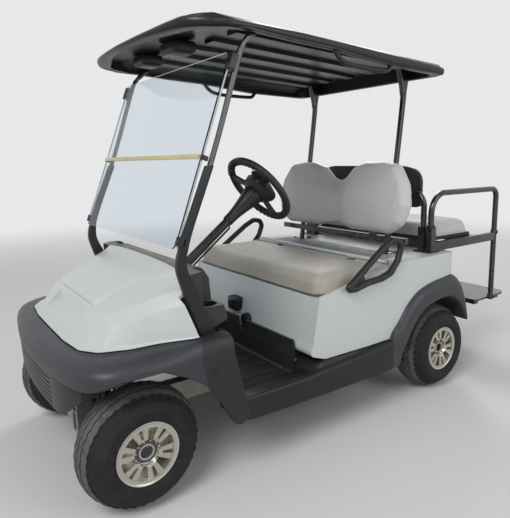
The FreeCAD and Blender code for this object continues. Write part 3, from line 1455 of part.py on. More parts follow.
def foot_plate():
    """Tread plate on two arms that run back from the frame rails."""
    half = d.rail_y - d.tube / 2 - d.fit_gap
    top = d.plate_top
    low = top - d.plate_thick
    rear = behind(-d.rear_overhang)
    front = rear + d.plate_depth
    plate = prism([(rear, -half), (front, -half), (front, half), (rear, half)],
                  [d.plate_corner, 20, 20, d.plate_corner], low, top, "XY")
    arm_y = d.rail_half - d.rail_width / 2 - d.fit_gap - 40
    arms = []
    for side in (1, -1):
        ys = sorted((float(side * arm_y), float(side * (arm_y + 40))))
        arms.append(bar((rear + 30, behind(-232)), ys, (low - 40, low)))
    for x in (rear + 60, front - 60):
        arms.append(bar((x - 20, x + 20), (-half + 30, half - 30), (low - 30, low)))
    whole = merged([plate] + arms)
    holes = [Part.makeCylinder(6.5, 60, V(rear + 50, y, low - 45)) for y in (-60, 60)]
    return whole.cut(holes)


# Small fittings


def battery_block():
    """The pack of batteries between the pod's walls, standing on the rails."""
    return bar((behind(440), behind(806)), (-330, 330), (RAIL_TOP + d.fit_gap, RAIL_TOP + 262))


def selector():
    """Direction selector: a box on the pod's face with its turning knob."""
    face = behind(d.pod_front + 4)
    box = prism([(face + 26, 466), (face + 14, 536), (face - 30, 536), (face - 30, 466)], [6, 6, 0, 0], -133, -10)
    knob = Part.makeCylinder(15, 30, V(face + 16, -72, 500), V(1, 0, 0))
    lever = bar((face + 40, face + 48), (-78, -66), (488, 548))
    cutter = prism(pod_side(-float(d.fit_gap)), POD_RADII, -600, 600)
    return solids(merged([box, knob, lever]).cut(cutter))


def charge_socket():
    """Round charge socket in the pod's face: a flanged cup."""
    start = V(behind(d.pod_front + 40), *CHARGE_PORT)
    flange = Part.makeCylinder(40, 30, start, V(-1, 0, 0))
    barrel = Part.makeCylinder(float(d.socket_radius) - float(d.fit_gap), 76, start, V(-1, 0, 0))
    bore = Part.makeCylinder(float(d.socket_radius) - 5, 66, start + V(1, 0, 0), V(-1, 0, 0))
    cutter = prism(pod_side(-float(d.fit_gap)), POD_RADII, -600, 600)
    return solids(merged([flange.cut(cutter), barrel]).cut(bore))


def assemble():
    front_x, rear_x = float(AXLE_FRONT), float(AXLE_REAR)
    front_y, rear_y = float(d.track_front) / 2, float(d.track_rear) / 2
    left_knuckle = knuckle()
    lower, upper = screen_panels()
    table = [
        ("frame", frame()),
        ("front_suspension", front_suspension()),
        ("knuckle_left", left_knuckle),
        ("knuckle_right", mirrored(left_knuckle)),
        ("tie_rod", tie_rod()),
        ("rear_axle", rear_axle()),
        ("rear_springs", rear_springs()),
        ("battery_block", battery_block()),
        ("floor_pan", floor_pan()),
        ("rockers", both(rocker())),
        ("front_fender", front_fender()),
        ("front_cowl", front_cowl()),
        ("front_bumper", front_bumper()),
        ("dashboard", dashboard()),
        ("steering_column", steering_column()),
        ("steering_wheel", steering_wheel()),
        ("pedals", Part.makeCompound(pedals())),
        ("windscreen_lower", lower),
        ("windscreen_upper", upper),
        ("windscreen_hinge", screen_hinge()),
        ("windscreen_clips", screen_clips()),
        ("front_struts", front_struts()),
        ("rear_struts", rear_struts()),
        ("roof", roof()),
        ("roof_pods", roof_pods()),
        ("seat_pod", seat_pod()),
        ("rear_flares", both(rear_flare())),
        ("selector", selector()),
        ("charge_socket", charge_socket()),
        ("cushion_base", cushion_base()),
        ("front_cushion", front_cushion()),
        ("front_backrest", front_backrest()),
        ("backrest_frame", backrest_frame()),
        ("armrests", both(armrest())),
        ("rear_seat_frame", rear_seat_frame()),
        ("rear_seat_base", rear_seat_base()),
        ("rear_cushion", rear_cushion()),
        ("back_hoop", back_hoop()),
        ("rear_back_shell", rear_back_shell()),
        ("rear_back_pad", rear_back_pad()),
        ("grab_rails", both(grab_rail())),
        ("foot_plate", foot_plate()),
    ]
    corners = [
        ("front_left", front_x, front_y, 1), ("front_right", front_x, -front_y, -1),
        ("rear_left", rear_x, rear_y, 1), ("rear_right", rear_x, -rear_y, -1),
    ]
    for name, x, y, outward in corners:
        table.append(("tyre_" + name, tyre(x, y, outward)))
        table.append(("wheel_" + name, wheel(x, y, outward)))
    for label, shape in table:
        shape_piece(label, shape)


assemble()
doc.recompute()

for obj in doc.Objects:
    if "Invalid" in obj.State or "Error" in obj.State:
        raise RuntimeError("%s failed: %s" % (obj.Name, obj.State))
failed = [
    piece.Label for piece in pieces
    if piece.Shape.isNull() or not piece.Shape.isValid() or not piece.Shape.Solids
]
if failed:
    raise RuntimeError("no valid solid: " + ", ".join(failed))

os.makedirs("parts", exist_ok=True)
for piece in pieces:
    piece.Shape.exportStep("parts/%s.step" % piece.Label)
print(len(pieces), "pieces written")
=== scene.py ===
"""Looks of the four-seat golf cart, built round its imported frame.

Metres, with +X forward, +Y to the driver's left and +Z up. The floor is at height 0.
"""
import json
import math

import bmesh
import bpy
import numpy as np
from mathutils import Matrix, Vector
from mathutils.bvhtree import BVHTree


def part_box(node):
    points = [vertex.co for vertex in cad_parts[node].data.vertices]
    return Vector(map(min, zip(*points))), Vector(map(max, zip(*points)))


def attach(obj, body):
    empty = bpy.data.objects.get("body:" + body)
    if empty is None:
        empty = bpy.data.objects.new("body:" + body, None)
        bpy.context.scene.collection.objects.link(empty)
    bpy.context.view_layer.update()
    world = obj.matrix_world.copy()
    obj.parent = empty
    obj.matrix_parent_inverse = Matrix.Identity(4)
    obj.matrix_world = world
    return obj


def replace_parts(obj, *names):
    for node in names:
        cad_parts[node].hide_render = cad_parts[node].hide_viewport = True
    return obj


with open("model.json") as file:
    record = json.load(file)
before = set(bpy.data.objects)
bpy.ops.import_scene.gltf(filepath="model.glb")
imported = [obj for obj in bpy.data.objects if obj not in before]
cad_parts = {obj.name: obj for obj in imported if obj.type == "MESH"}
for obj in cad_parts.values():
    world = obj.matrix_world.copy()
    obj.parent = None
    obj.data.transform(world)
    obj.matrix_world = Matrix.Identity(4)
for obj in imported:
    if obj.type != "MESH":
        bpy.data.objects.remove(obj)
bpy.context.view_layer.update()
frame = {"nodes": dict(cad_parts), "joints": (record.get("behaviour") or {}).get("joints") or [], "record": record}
nodes = frame["nodes"]

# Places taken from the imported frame

JOINT = {j["name"]: j for j in frame["joints"]}
AXLE_FRONT = JOINT["spin_front_left"]["pos_m"][0]
AXLE_REAR = JOINT["spin_rear_left"]["pos_m"][0]


def front(distance):
    """X in metres of a point this many millimetres ahead of the front axle."""
    return AXLE_FRONT + distance / 1000


def rear(distance):
    """X in metres of a point this many millimetres ahead of the rear axle."""
    return AXLE_REAR + distance / 1000


def at(x, y, z):
    """A point given in millimetres: ahead of the front axle, across and up."""
    return front(x), y / 1000, z / 1000


def angles(count, shift=0.0):
    """Angles evenly spaced round a circle."""
    return [2 * math.pi * (k + shift) / count for k in range(count)]


def clamp(value):
    """A value held between 0 and 1."""
    return min(1.0, max(0.0, value))


def level(table, x):
    """What a table of (x, value) rows gives at x."""
    return np.interp(x, *zip(*table))


def flat(u, v, w):
    """The place of a plate that lies level: ahead, across and up."""
    return Vector((u, v, w))


def upright(side):
    """The place of a plate that stands along the cart on one side: ahead, up and outwards."""
    return lambda u, v, w: Vector((u, side * w, v))


# Mesh building


class Form:
    """Collects surfaces into one mesh piece."""

    def __init__(self):
        self.points = []
        self.faces = []
        self.kinds = []

    def skin(self, rows, closed=True, caps=False, kind=0):
        """A surface through rows of points. Closed rows join their ends."""
        first, count = len(self.points), len(rows[0])
        last = first + len(rows) * count
        faces = []
        for start in range(first, last - count, count):
            for c in range(count if closed else count - 1):
                a, b = start + c, start + (c + 1) % count
                faces.append((a, b, b + count, a + count))
        if caps:
            faces += [tuple(range(first, first + count))[::-1], tuple(range(last - count, last))]
        self.points += [tuple(p) for row in rows for p in row]
        self.faces += faces
        self.kinds += [kind] * len(faces)

    def turned(self, profile, centre, axis, steps=24, caps=True, kind=0):
        """A form of (distance along the axis, radius) points turned about an axis."""
        axis = Vector(axis).normalized()
        side = axis.orthogonal().normalized()
        other = axis.cross(side)
        rows = [[Vector(centre) + along * axis + radius * (math.cos(a) * side + math.sin(a) * other)
                 for a in angles(steps)] for along, radius in profile]
        self.skin(rows, caps=caps, kind=kind)

    def tube(self, path, radius, sides=12, caps=True, kind=0):
        """A round tube along a list of points."""
        path = [Vector(p) for p in path]
        rows = []
        side = None
        for k, p in enumerate(path):
            along = (path[min(k + 1, len(path) - 1)] - path[max(k - 1, 0)]).normalized()
            side = along.orthogonal() if side is None else side - side.dot(along) * along
            side.normalize()
            other = along.cross(side)
            rows.append([p + radius * (math.cos(a) * side + math.sin(a) * other) for a in angles(sides)])
        self.skin(rows, caps=caps, kind=kind)

    def plate(self, outline, place, low, high, edge, kind=0):
        """A flat outline raised from low to high with softened edges. place(u, v, w) gives a point."""
        steps = ((edge, low), (0.0, low + edge), (0.0, high - edge), (edge * 0.3, high - edge * 0.3), (edge, high))
        self.skin([[place(u, v, w) for u, v in shrunk(outline, inset)] for inset, w in steps], caps=True, kind=kind)

    def bolt(self, centre, axis, radius):
        """A hexagon bolt head on its washer."""
        for steps, profile in ((16, [(0, 1.5), (0.2, 1.5), (0.2, 0.9)]), (6, [(0.2, 1), (0.75, 1), (0.9, 0.8)])):
            self.turned([(radius * along, radius * out) for along, out in profile], centre, axis, steps)

    def piece(self, name, materials, body, slot, sharp=35.0):
        """Makes the mesh, smooth with sharp edges over an angle in degrees, and puts it on its body."""
        mesh = bpy.data.meshes.new(name)
        mesh.from_pydata(self.points, [], self.faces)
        if not isinstance(materials, (list, tuple)):
            materials = [materials]
        for mat in materials:
            mesh.materials.append(mat)
        mesh.polygons.foreach_set("material_index", self.kinds)
        bm = bmesh.new()
        bm.from_mesh(mesh)
        bmesh.ops.remove_doubles(bm, verts=bm.verts, dist=0.00001)
        bmesh.ops.recalc_face_normals(bm, faces=bm.faces)
        bm.to_mesh(mesh)
        bm.free()
        obj = bpy.data.objects.new(name, mesh)
        bpy.context.scene.collection.objects.link(obj)
        mesh.shade_smooth()
        mesh.set_sharp_from_angle(angle=math.radians(sharp))
        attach(obj, body)
        return obj


def shrunk(outline, inset):
    """A closed outline moved inward by an inset, point by point."""
    count = len(outline)
    area = sum(a[0] * b[1] - b[0] * a[1] for a, b in zip(outline, outline[1:] + outline[:1]))
    turn = 1.0 if area > 0 else -1.0
    moved = []
    for k in range(count):
        before, here, after = (Vector(outline[i % count]) for i in (k - 1, k, k + 1))
        a, b = (here - before).normalized(), (after - here).normalized()
        normal = Vector((-(a + b).y, (a + b).x)).normalized() * turn
        lean = max(normal.dot(Vector((-a.y, a.x)) * turn), 0.5)
        moved.append(tuple(here + normal * (inset / lean)))
    return moved


def rounded(points, radii, steps=6, closed=True):
    """Points with their corners replaced by arcs of curve."""
    count = len(points)
    if not isinstance(radii, (list, tuple)):
        radii = [radii] * count
    path = []
    for k, here in enumerate(points):
        here = Vector(here)
        if (not closed and k in (0, count - 1)) or radii[k] <= 0:
            path.append(tuple(here))
            continue
        before, after = Vector(points[k - 1]), Vector(points[(k + 1) % count])
        a, b = (before - here), (after - here)
        half = a.angle(b) / 2
        reach = min(radii[k] / math.tan(half), a.length * 0.49, b.length * 0.49)
        start, end = here + a.normalized() * reach, here + b.normalized() * reach
        for s in range(steps + 1):
            t = s / steps
            path.append(tuple((1 - t) ** 2 * start + 2 * t * (1 - t) * here + t ** 2 * end))
    return path


def oblong(low, high, radius, steps=6):
    """A rectangle between two opposite corners, with its corners rounded."""
    return rounded([low, (high[0], low[1]), high, (low[0], high[1])], radius, steps)


def spread(outline, count):
    """The same closed outline with evenly spaced points."""
    loop = [Vector(p) for p in outline] + [Vector(outline[0])]
    lengths = [0.0]
    for a, b in zip(loop, loop[1:]):
        lengths.append(lengths[-1] + (b - a).length)
    result = []
    k = 0
    for step in range(count):
        want = lengths[-1] * step / count
        while lengths[k + 1] < want:
            k += 1
        share = (want - lengths[k]) / max(lengths[k + 1] - lengths[k], 1e-9)
        result.append(tuple(loop[k].lerp(loop[k + 1], share)))
    return result


# Tyres: a crowned tread with four zigzag grooves and a toothed edge

TYRE = 228.0
PITCHES = 38
STEPS = 10
ZIG = 3.4
TREAD_GROOVES = (-37.5, -12.5, 12.5, 37.5)
GROOVE_HALF = 1.9
GROOVE_DEEP = 5.0
TREAD_EDGE = 62.0
# distance from the tyre's middle, radius, share of the zigzag
SIDEWALL = [(65.5, 201.5, 0.9), (72, 198.5, 0.4), (80, 193.4, 0.0), (88, 187, 0.0), (88.8, 187.6, 0.0),
            (90, 187.2, 0.0), (90.8, 184.6, 0.0), (97, 178, 0.0), (102.5, 169.5, 0.0), (105.2, 161.5, 0.0),
            (105.9, 160.5, 0.0), (106, 158, 0.0), (105.3, 156.5, 0.0), (105, 149, 0.0), (103.5, 141, 0.0),
            (101.6, 134.6, 0.0), (101.7, 132.6, 0.0), (99.8, 131.6, 0.0), (97.6, 127, 0.0), (94.8, 124.4, 0.0),
            (93.4, 124.6, 0.0), (91.8, 122, 0.0), (91.6, 116.4, 0.0), (80, 112, 0.0)]


def crown(y):
    """Radius of the tread at a distance from the tyre's middle."""
    return TYRE - 0.6 - 0.0047 * y * y


def zigzag(turn):
    """Sideways shift of the grooves, from -1 to 1, at a share of one turn."""
    t = (turn * PITCHES) % 1.0
    wave = 4 * abs(t - 0.5) - 1
    return max(-1.0, min(1.0, 1.35 * wave))


def tread_columns():
    """(distance from the middle, radius, share of the zigzag, finish) across the tyre."""
    columns = []
    ribs = [-TREAD_EDGE] + [g + s * GROOVE_HALF for g in TREAD_GROOVES for s in (-1, 1)] + [TREAD_EDGE]
    for k in range(0, len(ribs), 2):
        a, b = ribs[k], ribs[k + 1]
        for share in (0.0, 0.33, 0.67, 1.0):
            y = a + (b - a) * share
            columns.append((y, crown(y), 1.0, 1))
        if k + 2 < len(ribs):
            for y in (b + 0.6, ribs[k + 2] - 0.6):
                columns.append((y, crown(y) - GROOVE_DEEP, 1.0, 0))
    right = [(y, r, share, 0) for y, r, share in SIDEWALL]
    left = [(-y, r, share, 0) for y, r, share in reversed(SIDEWALL)]
    return left + columns + right


def make_tyre(name, joint, outward):
    x, y, z = JOINT[joint]["pos_m"]
    columns = tread_columns()
    turns = PITCHES * STEPS
    form = Form()
    for k, a in enumerate(angles(turns)):
        shift = zigzag(k / turns) * ZIG
        for across, radius, share, _ in columns:
            form.points.append((x + radius * math.cos(a) / 1000, y + outward * (across + shift * share) / 1000,
                                z + radius * math.sin(a) / 1000))
    count = len(columns)
    for c in range(count - 1):
        for k in range(turns):
            here, after = k * count + c, (k + 1) % turns * count + c
            form.faces.append((here, here + 1, after + 1, after))
            form.kinds.append(int(columns[c][3] and columns[c + 1][3]))
    obj = form.piece(name, [MATERIALS["tyre"], TREAD], JOINT[joint]["child"], "tyre", 28.0)
    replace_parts(obj, name.replace("_tread", ""))


# Wheel covers: trim on the turned cover of the frame

STUDS = 12
STUD_CIRCLE = 46.0
COVER_FACE = 84.0
# along the stud from its seat and radius, in metres
STUD = [(-0.006, 0.0036), (0.0042, 0.0036), (0.0058, 0.0026), (0.0064, 0.001)]
# profiles in millimetres, as (distance out from the wheel's middle, radius)
HUB_RING = [(62, 30.5), (72, 30.5), (74.5, 29.5), (75, 27.5), (74, 23.4), (70, 22.6), (62, 22.6)]
HUB_CAP = [(62, 22.4), (71.4, 22.4), (73.2, 20.5), (74.4, 14), (74.8, 7), (74.9, 0.5)]
OPEN_HUB = [(66, 22.4), (58, 21.5), (58, 0.5)]
BRIGHT_LIP = [(85.2, 103.5), (87.4, 105.5), (87.0, 107.5), (88.6, 109.5), (92.6, 113), (93.6, 115), (93.4, 116.8),
              (91.6, 117.2), (90, 116.4)]
RECESS_FLOOR = [(COVER_FACE - 14 + 0.4, 30), (COVER_FACE - 14 + 0.4, 42.4)]


def make_cover_trim(name, joint, outward, capped):
    """Studs round the hub, the hub's ring and cap, and the bright ring at the rim."""
    x, y, z = JOINT[joint]["pos_m"]
    axis = (0, outward, 0)
    form = Form()
    for a in angles(STUDS, 0.5):
        place = (x + STUD_CIRCLE * math.cos(a) / 1000, y + outward * (COVER_FACE - 5.5) / 1000,
                 z + STUD_CIRCLE * math.sin(a) / 1000)
        form.turned(STUD, place, axis, 12, kind=1)
    for profile, steps, kind in ((HUB_RING, 48, 0), (HUB_CAP if capped else OPEN_HUB, 48, 2), (BRIGHT_LIP, 128, 1),
                                 (RECESS_FLOOR, 64, 3)):
        form.turned([(u / 1000, r / 1000) for u, r in profile], (x, y, z), axis, steps, caps=False, kind=kind)
    form.piece(name, [MATERIALS["wheel"], BRIGHT, CAP, RECESS_GREY], JOINT[joint]["child"], "wheel")


# Cushions


PAD_RINGS = 14


def pillow(outline, spine, place, low, high, roll, crown_rise, foot=0.006, count=220):
    """A crowned pad: an outline, closed over a spine, with place(u, v, w) giving each point.

    Its face rolls over the edge in an ellipse and rises on to the spine. Its back is flat.
    """
    loop = spread(outline, count)
    a, b = Vector(spine[0]), Vector(spine[1])

    def to_spine(p):
        p = Vector(p)
        t = (p - a).dot(b - a) / max((b - a).length_squared, 1e-9)
        return a.lerp(b, clamp(t))

    shoulder = high - crown_rise
    rows = []
    inner = shrunk(loop, foot)
    for k in range(8, -1, -1):
        rows.append([place(*Vector(p).lerp(to_spine(p), k / 8), low) for p in inner])
    rows.append([place(u, v, low + foot * 0.3) for u, v in shrunk(loop, foot * 0.3)])
    rows.append([place(u, v, low + foot) for u, v in loop])
    side = min(shoulder - low - foot, roll * 1.1)
    for k in range(9):
        t = math.pi / 2 * k / 8
        height = shoulder - side + side * math.sin(t)
        rows.append([place(u, v, height) for u, v in shrunk(loop, roll * (1 - math.cos(t)))])
    top = shrunk(loop, roll)
    for k in range(1, PAD_RINGS + 1):
        t = k / PAD_RINGS
        lift = crown_rise * math.sin(t * math.pi / 2) ** 1.2
        rows.append([place(*Vector(p).lerp(to_spine(p), t), shoulder + lift) for p in top])
    form = Form()
    form.skin(rows)
    return form


CLOTH_FRAMES = 20
CLOTH_PRESSURE = 4.0


def spots(obj):
    """The places of a piece's points."""
    places = np.empty(len(obj.data.vertices) * 3)
    obj.data.vertices.foreach_get("co", places)
    return places.reshape(-1, 3)


def inflate(obj, voxel, cap, hold):
    """Cloth pressure on a closed pad. hold(point) gives how freely a point moves, from 0 to 1."""
    shell = obj.modifiers.new("remesh", "REMESH")
    shell.mode = "VOXEL"
    shell.voxel_size = voxel
    settle(obj)
    start = spots(obj)
    cloth = obj.modifiers.new("cloth", "CLOTH")
    cloth.settings.use_pressure = True
    cloth.settings.uniform_pressure_force = CLOTH_PRESSURE
    cloth.settings.effector_weights.gravity = 0.0
    cloth.point_cache.frame_start = 1
    cloth.point_cache.frame_end = CLOTH_FRAMES
    for number in range(1, CLOTH_FRAMES + 1):
        bpy.context.scene.frame_set(number)
    settle(obj)
    move = spots(obj) - start
    far = np.linalg.norm(move, axis=1)
    move *= (np.minimum(far, cap) / np.maximum(far, 1e-9))[:, None]
    free = np.array([hold(p) for p in start])
    obj.data.vertices.foreach_set("co", (start + move * free[:, None]).ravel())
    bpy.context.scene.frame_set(1)
    finer = obj.modifiers.new("finer", "SUBSURF")
    finer.levels = 1
    settle(obj)
    obj.data.shade_smooth()


def settle(obj):
    """Puts what the modifiers make into the mesh and removes them."""
    graph = bpy.context.evaluated_depsgraph_get()
    made = bpy.data.meshes.new_from_object(obj.evaluated_get(graph), depsgraph=graph)
    old = obj.data
    for mat in old.materials:
        if mat.name not in made.materials:
            made.materials.append(mat)
    obj.modifiers.clear()
    obj.data = made
    bpy.data.meshes.remove(old)


def seam(form, cushion, line, push, radius):
    """A sewn line laid on a cushion, from points above it and the way down to it."""
    cover = BVHTree.FromPolygons([v.co for v in cushion.data.vertices],
                                 [tuple(f.vertices) for f in cushion.data.polygons])
    hits = [cover.ray_cast(point, push.normalized())[0] for point in line]
    form.tube([place for place in hits if place], radius, 6)


def piping(name, outline, height, radius, vinyl, body):
    """A cord sewn round a seat's lower edge."""
    path = shrunk(outline, -0.0005)
    trim = Form()
    trim.tube([(u, v, height) for u, v in path + path[:1]], radius, 8, caps=False)
    trim.piece(name, MATERIALS[vinyl], body, vinyl)


# how far a seat cushion stays inside its block of the frame
SEAT_EDGE = 0.004
# how far the bench cushion's front hangs over the pod's ledge
BENCH_LIP = 0.015


def make_bench():
    low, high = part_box("front_cushion")
    left, right = low[1] + SEAT_EDGE, high[1] - SEAT_EDGE
    back, nose = low[0] + SEAT_EDGE, high[0] + BENCH_LIP
    outline = rounded([(back, left), (nose, left - BENCH_LIP), (nose, right + BENCH_LIP), (back, right)],
                      [0.03, 0.075, 0.075, 0.03], 8)
    middle = (back + nose) / 2
    form = pillow(outline, ((middle, left + 0.2), (middle, right - 0.2)), flat, low[2] - 0.008, high[2] + 0.004,
                  0.046, 0.010)
    bench = form.piece("bench_cushion", MATERIALS["vinyl_beige"], "bench_lid", "vinyl_beige")
    inflate(bench, 0.010, 0.006, lambda p: clamp((p[2] - low[2] - 0.004) / 0.03))
    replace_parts(bench, "front_cushion")
    piping("bench_piping", outline, low[2] + 0.006, 0.0032, "vinyl_beige", "bench_lid")


BACK_FRONT = -1360
BACK_LEAN = math.radians(8.0)
BACK_THICK = 0.088
BACK_BASE = 0.868
BACK_HIGH = 0.379
BACK_HALF = 0.527
# across, up
BACK_SEAM_IN = [(0.085, 1.205), (0.150, 1.13), (0.158, 1.02), (0.135, 0.90)]
BACK_SEAM_OUT = [(0.430, 1.215), (0.455, 1.13), (0.440, 1.02), (0.400, 0.93)]
VALLEY_HALF = 0.09
VALLEY_DEEP = 0.044


def back_place(u, v, w):
    """A point of the front backrest: across, up its face and out from its rear side."""
    out, up = w - BACK_THICK, v - BACK_BASE
    return Vector((front(BACK_FRONT) + out * math.cos(BACK_LEAN) - up * math.sin(BACK_LEAN), u,
                   BACK_BASE + up * math.cos(BACK_LEAN) + out * math.sin(BACK_LEAN)))


def back_outline(inset):
    """Two lobes with a dip between them, in metres across and up."""
    half, base, top = BACK_HALF - inset, BACK_BASE - 0.008 + inset, BACK_BASE + BACK_HIGH + 0.012 - inset
    side = [(0.0, base + 0.034), (0.06, base + 0.020), (0.13, base), (half - 0.11, base + 0.002),
            (half - 0.03, base + 0.06), (half, base + 0.16), (half - 0.022, top - 0.12), (half - 0.09, top - 0.018),
            (half - 0.20, top), (0.21, top - 0.002), (0.12, top - 0.030), (0.05, top - 0.088), (0.0, top - 0.104)]
    return rounded(side + [(-u, v) for u, v in reversed(side[1:-1])], 0.06, 5)


def shape_lobes(back):
    """Sinks the face between the two lobes into a soft valley."""
    for vertex in back.data.vertices:
        depth = vertex.co.x - back_place(0, vertex.co.z, 0.0)[0]
        if depth > 0.02:
            valley = math.exp(-(vertex.co.y / VALLEY_HALF) ** 2)
            vertex.co.x -= VALLEY_DEEP * valley * min(1.0, (depth - 0.02) / 0.05)


def make_backrest():
    form = pillow(back_outline(SEAT_EDGE), ((-0.30, 1.045), (0.30, 1.045)), back_place, 0.002, BACK_THICK + 0.008,
                  0.044, 0.020, foot=0.018, count=260)
    back = form.piece("backrest", MATERIALS["vinyl_light"], "root", "vinyl_light")
    shape_lobes(back)
    inflate(back, 0.009, 0.006, lambda p: 1.0)
    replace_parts(back, "front_backrest")
    trim = Form()
    for side in (-1, 1):
        for points in (BACK_SEAM_IN, BACK_SEAM_OUT):
            line = [back_place(side * u, v, 0.13) for u, v in rounded(points, 0.12, 8, closed=False)]
            seam(trim, back, line, back_place(0, 1, -1) - back_place(0, 1, 0), 0.0011)
    trim.piece("backrest_seams", STITCH, "root", "vinyl_light")


def make_rear_cushion():
    low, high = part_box("rear_cushion")
    outline = oblong((low[0] + SEAT_EDGE, low[1] + SEAT_EDGE), (high[0] - SEAT_EDGE, high[1] - SEAT_EDGE), 0.06, 8)
    middle = (low[0] + high[0]) / 2
    form = pillow(outline, ((middle, low[1] + 0.19), (middle, high[1] - 0.19)), flat, low[2], high[2] - 0.008,
                  0.045, 0.016)
    seat = form.piece("rear_seat_cushion", MATERIALS["vinyl_light"], "flip_seat", "vinyl_light")
    inflate(seat, 0.010, 0.007, lambda p: clamp((p[2] - low[2] - 0.004) / 0.03))
    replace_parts(seat, "rear_cushion")
    piping("rear_seat_piping", outline, low[2] + 0.005, 0.0034, "vinyl_light", "flip_seat")


def make_rear_pad():
    low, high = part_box("rear_back_pad")
    edge = 0.003
    half, base, top = high[1] - edge, low[2] + edge, high[2] - edge
    outline = rounded([(-half, base + 0.004), (half, base + 0.004), (half, top - 0.028), (half - 0.12, top),
                       (-half + 0.12, top), (-half, top - 0.028)], [0.05, 0.05, 0.08, 0.18, 0.18, 0.08], 8)
    face, middle = high[0], (base + top) / 2
    form = pillow(outline, ((-half + 0.11, middle), (half - 0.11, middle)), lambda u, v, w: Vector((face - w, u, v)),
                  0.001, high[0] - low[0] - 0.006, 0.034, 0.012)
    pad = form.piece("rear_backrest_pad", MATERIALS["vinyl_light"], "root", "vinyl_light")
    inflate(pad, 0.009, 0.006, lambda p: clamp((face - p[0] - 0.004) / 0.02))
    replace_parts(pad, "rear_back_pad")


# Nose band and bumper: smooth shells round the frame's plain ones

# seam: ahead of the axle, from the middle; widest line: ahead, from the middle; lower edge: height, ahead
NOSE = [(180, 0, 272, 0, 508, 272), (180, 105, 267, 122, 506, 267), (178, 205, 254, 245, 503, 254),
        (168, 318, 238, 362, 500, 238), (146, 386, 217, 452, 500, 217), (118, 424, 187, 517, 504, 187),
        (72, 450, 146, 560, 516, 146), (20, 474, 90, 582, 536, 90), (-30, 484, 26, 590, 550, 26),
        (-80, 494, -36, 592, 538, -36), (-130, 514, -92, 592, 512, -92), (-180, 536, -140, 592, 482, -146),
        (-215, 541, -186, 592, 440, -204), (-245, 541, -226, 592, 374, -254), (-270, 541, -260, 592, 306, -296),
        (-290, 541, -288, 592, 252, -330), (-305, 541, -310, 592, 240, -362), (-320, 541, -330, 592, 262, -394)]
# rows at each end that are the dark side panels behind the front wheels
PANEL_ROWS = 30
SEAM_HEIGHT = 606.0
SEAM_SLOPE = -0.04
WIDEST = 542.0
BEAD = 5.0
# how the band's side bulges, and the radius of its lower edge
BULGE = 0.86
NOSE_ROLL = 15.0
# out from the panel, radius
PANEL_WASHER = [(-0.002, 0.014), (0.0014, 0.014), (0.0016, 0.0125), (-0.001, 0.011)]
PANEL_BOLT = [(-0.001, 0.0075), (0.001, 0.0075), (0.0026, 0.005), (0.003, 0.001)]


def eased(table, steps):
    """More rows between a table's rows, on a smooth curve through them."""
    rows = [np.array(r, float) for r in table]
    made = []
    for k in range(len(rows) - 1):
        a, b = rows[k], rows[k + 1]
        before, after = rows[max(k - 1, 0)], rows[min(k + 2, len(rows) - 1)]
        for s in range(steps):
            t = s / steps
            made.append(0.5 * (2 * a + (b - before) * t + (2 * before - 5 * a + 4 * b - after) * t ** 2
                               + (3 * a - before - 3 * b + after) * t ** 3))
    return made + [rows[-1]]


def both_sides(table):
    """A table of one side, mirrored to run from the other side round to it."""
    return [(x, -y, wx, -wy, low, lx) for x, y, wx, wy, low, lx in reversed(table[1:])] + list(table)


def make_nose_band():
    form = Form()
    rows = []
    up = np.array((0, 0, 1.0))
    for sx, sy, wx, wy, low, lx in eased(both_sides(NOSE), 6):
        top = np.array((sx, sy, SEAM_HEIGHT + SEAM_SLOPE * sx - 1.0))
        widest = np.array((wx, wy, WIDEST))
        out = (widest - top) * (1, 1, 0)
        out = out / np.linalg.norm(out)
        line = [top - up * drop + out * reach
                for drop, reach in ((26, -16), (3.4, -16), (3.4, 4.5), (1.4, 7), (1.6, 11), (BEAD, 15))]
        start = line[-1]
        span = widest - start
        for k in range(1, 13):
            a = math.pi / 2 * k / 12
            share, drop = math.sin(a) ** BULGE, 1 - math.cos(a) ** BULGE
            line.append(start + span * (share, share, drop))
        foot = np.array((lx, wy, low))
        wall = foot + up * min(NOSE_ROLL, WIDEST - low - 0.5)
        line += [widest + (wall - widest) * share for share in (0.25, 0.5, 0.75, 1.0)]
        for k in range(1, 6):
            a = math.pi / 2 * k / 5
            line.append(foot + up * NOSE_ROLL * (1 - math.sin(a)) - out * NOSE_ROLL * (1 - math.cos(a)))
        line += [foot - out * 34 + up * 2, foot - out * 38 + up * 34]
        rows.append([at(*point) for point in line])
    closing = [[(x - 0.003, y * 0.94, z) for x, y, z in rows[end]] for end in (0, -1)]
    rows = [closing[0]] + rows + [closing[1]]
    form.skin(rows[PANEL_ROWS:-PANEL_ROWS], closed=False)
    form.skin(rows[:PANEL_ROWS + 1], closed=False, kind=1)
    form.skin(rows[-PANEL_ROWS - 1:], closed=False, kind=1)
    band = form.piece("nose_band", [FENDER, MATERIALS["trim"]], "root", "trim", 50.0)
    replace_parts(band, "front_fender")
    bolts = Form()
    for side in (-1, 1):
        for profile, steps in ((PANEL_WASHER, 24), (PANEL_BOLT, 16)):
            bolts.turned(profile, at(-246, side * 592.3, 492), (0, side, 0), steps)
    bolts.piece("panel_bolts", DARK, "root", "trim")


# ahead of the axle and from the middle, at the bumper's fullest height
BUMPER = [(260, 0), (257, 120), (250.5, 235), (239, 312), (218, 357), (196, 376), (176, 384)]
# height, how far the outline draws in
BUMPER_RISE = [(331, 78), (333, 62), (338, 46), (347, 32), (362, 20)]
BUMPER_TOP = [(508, 2), (520, 5), (529, 11), (534, 20), (536, 34), (537, 90)]
# an outline that draws in by this much would be a point in the middle
BUMPER_SPAN = 420
GROOVES = 7
GROOVE_LOW = 374.0
GROOVE_STEP = 18.5
GROOVE_REACH = 262.0
GROOVE_CUT = 4.0
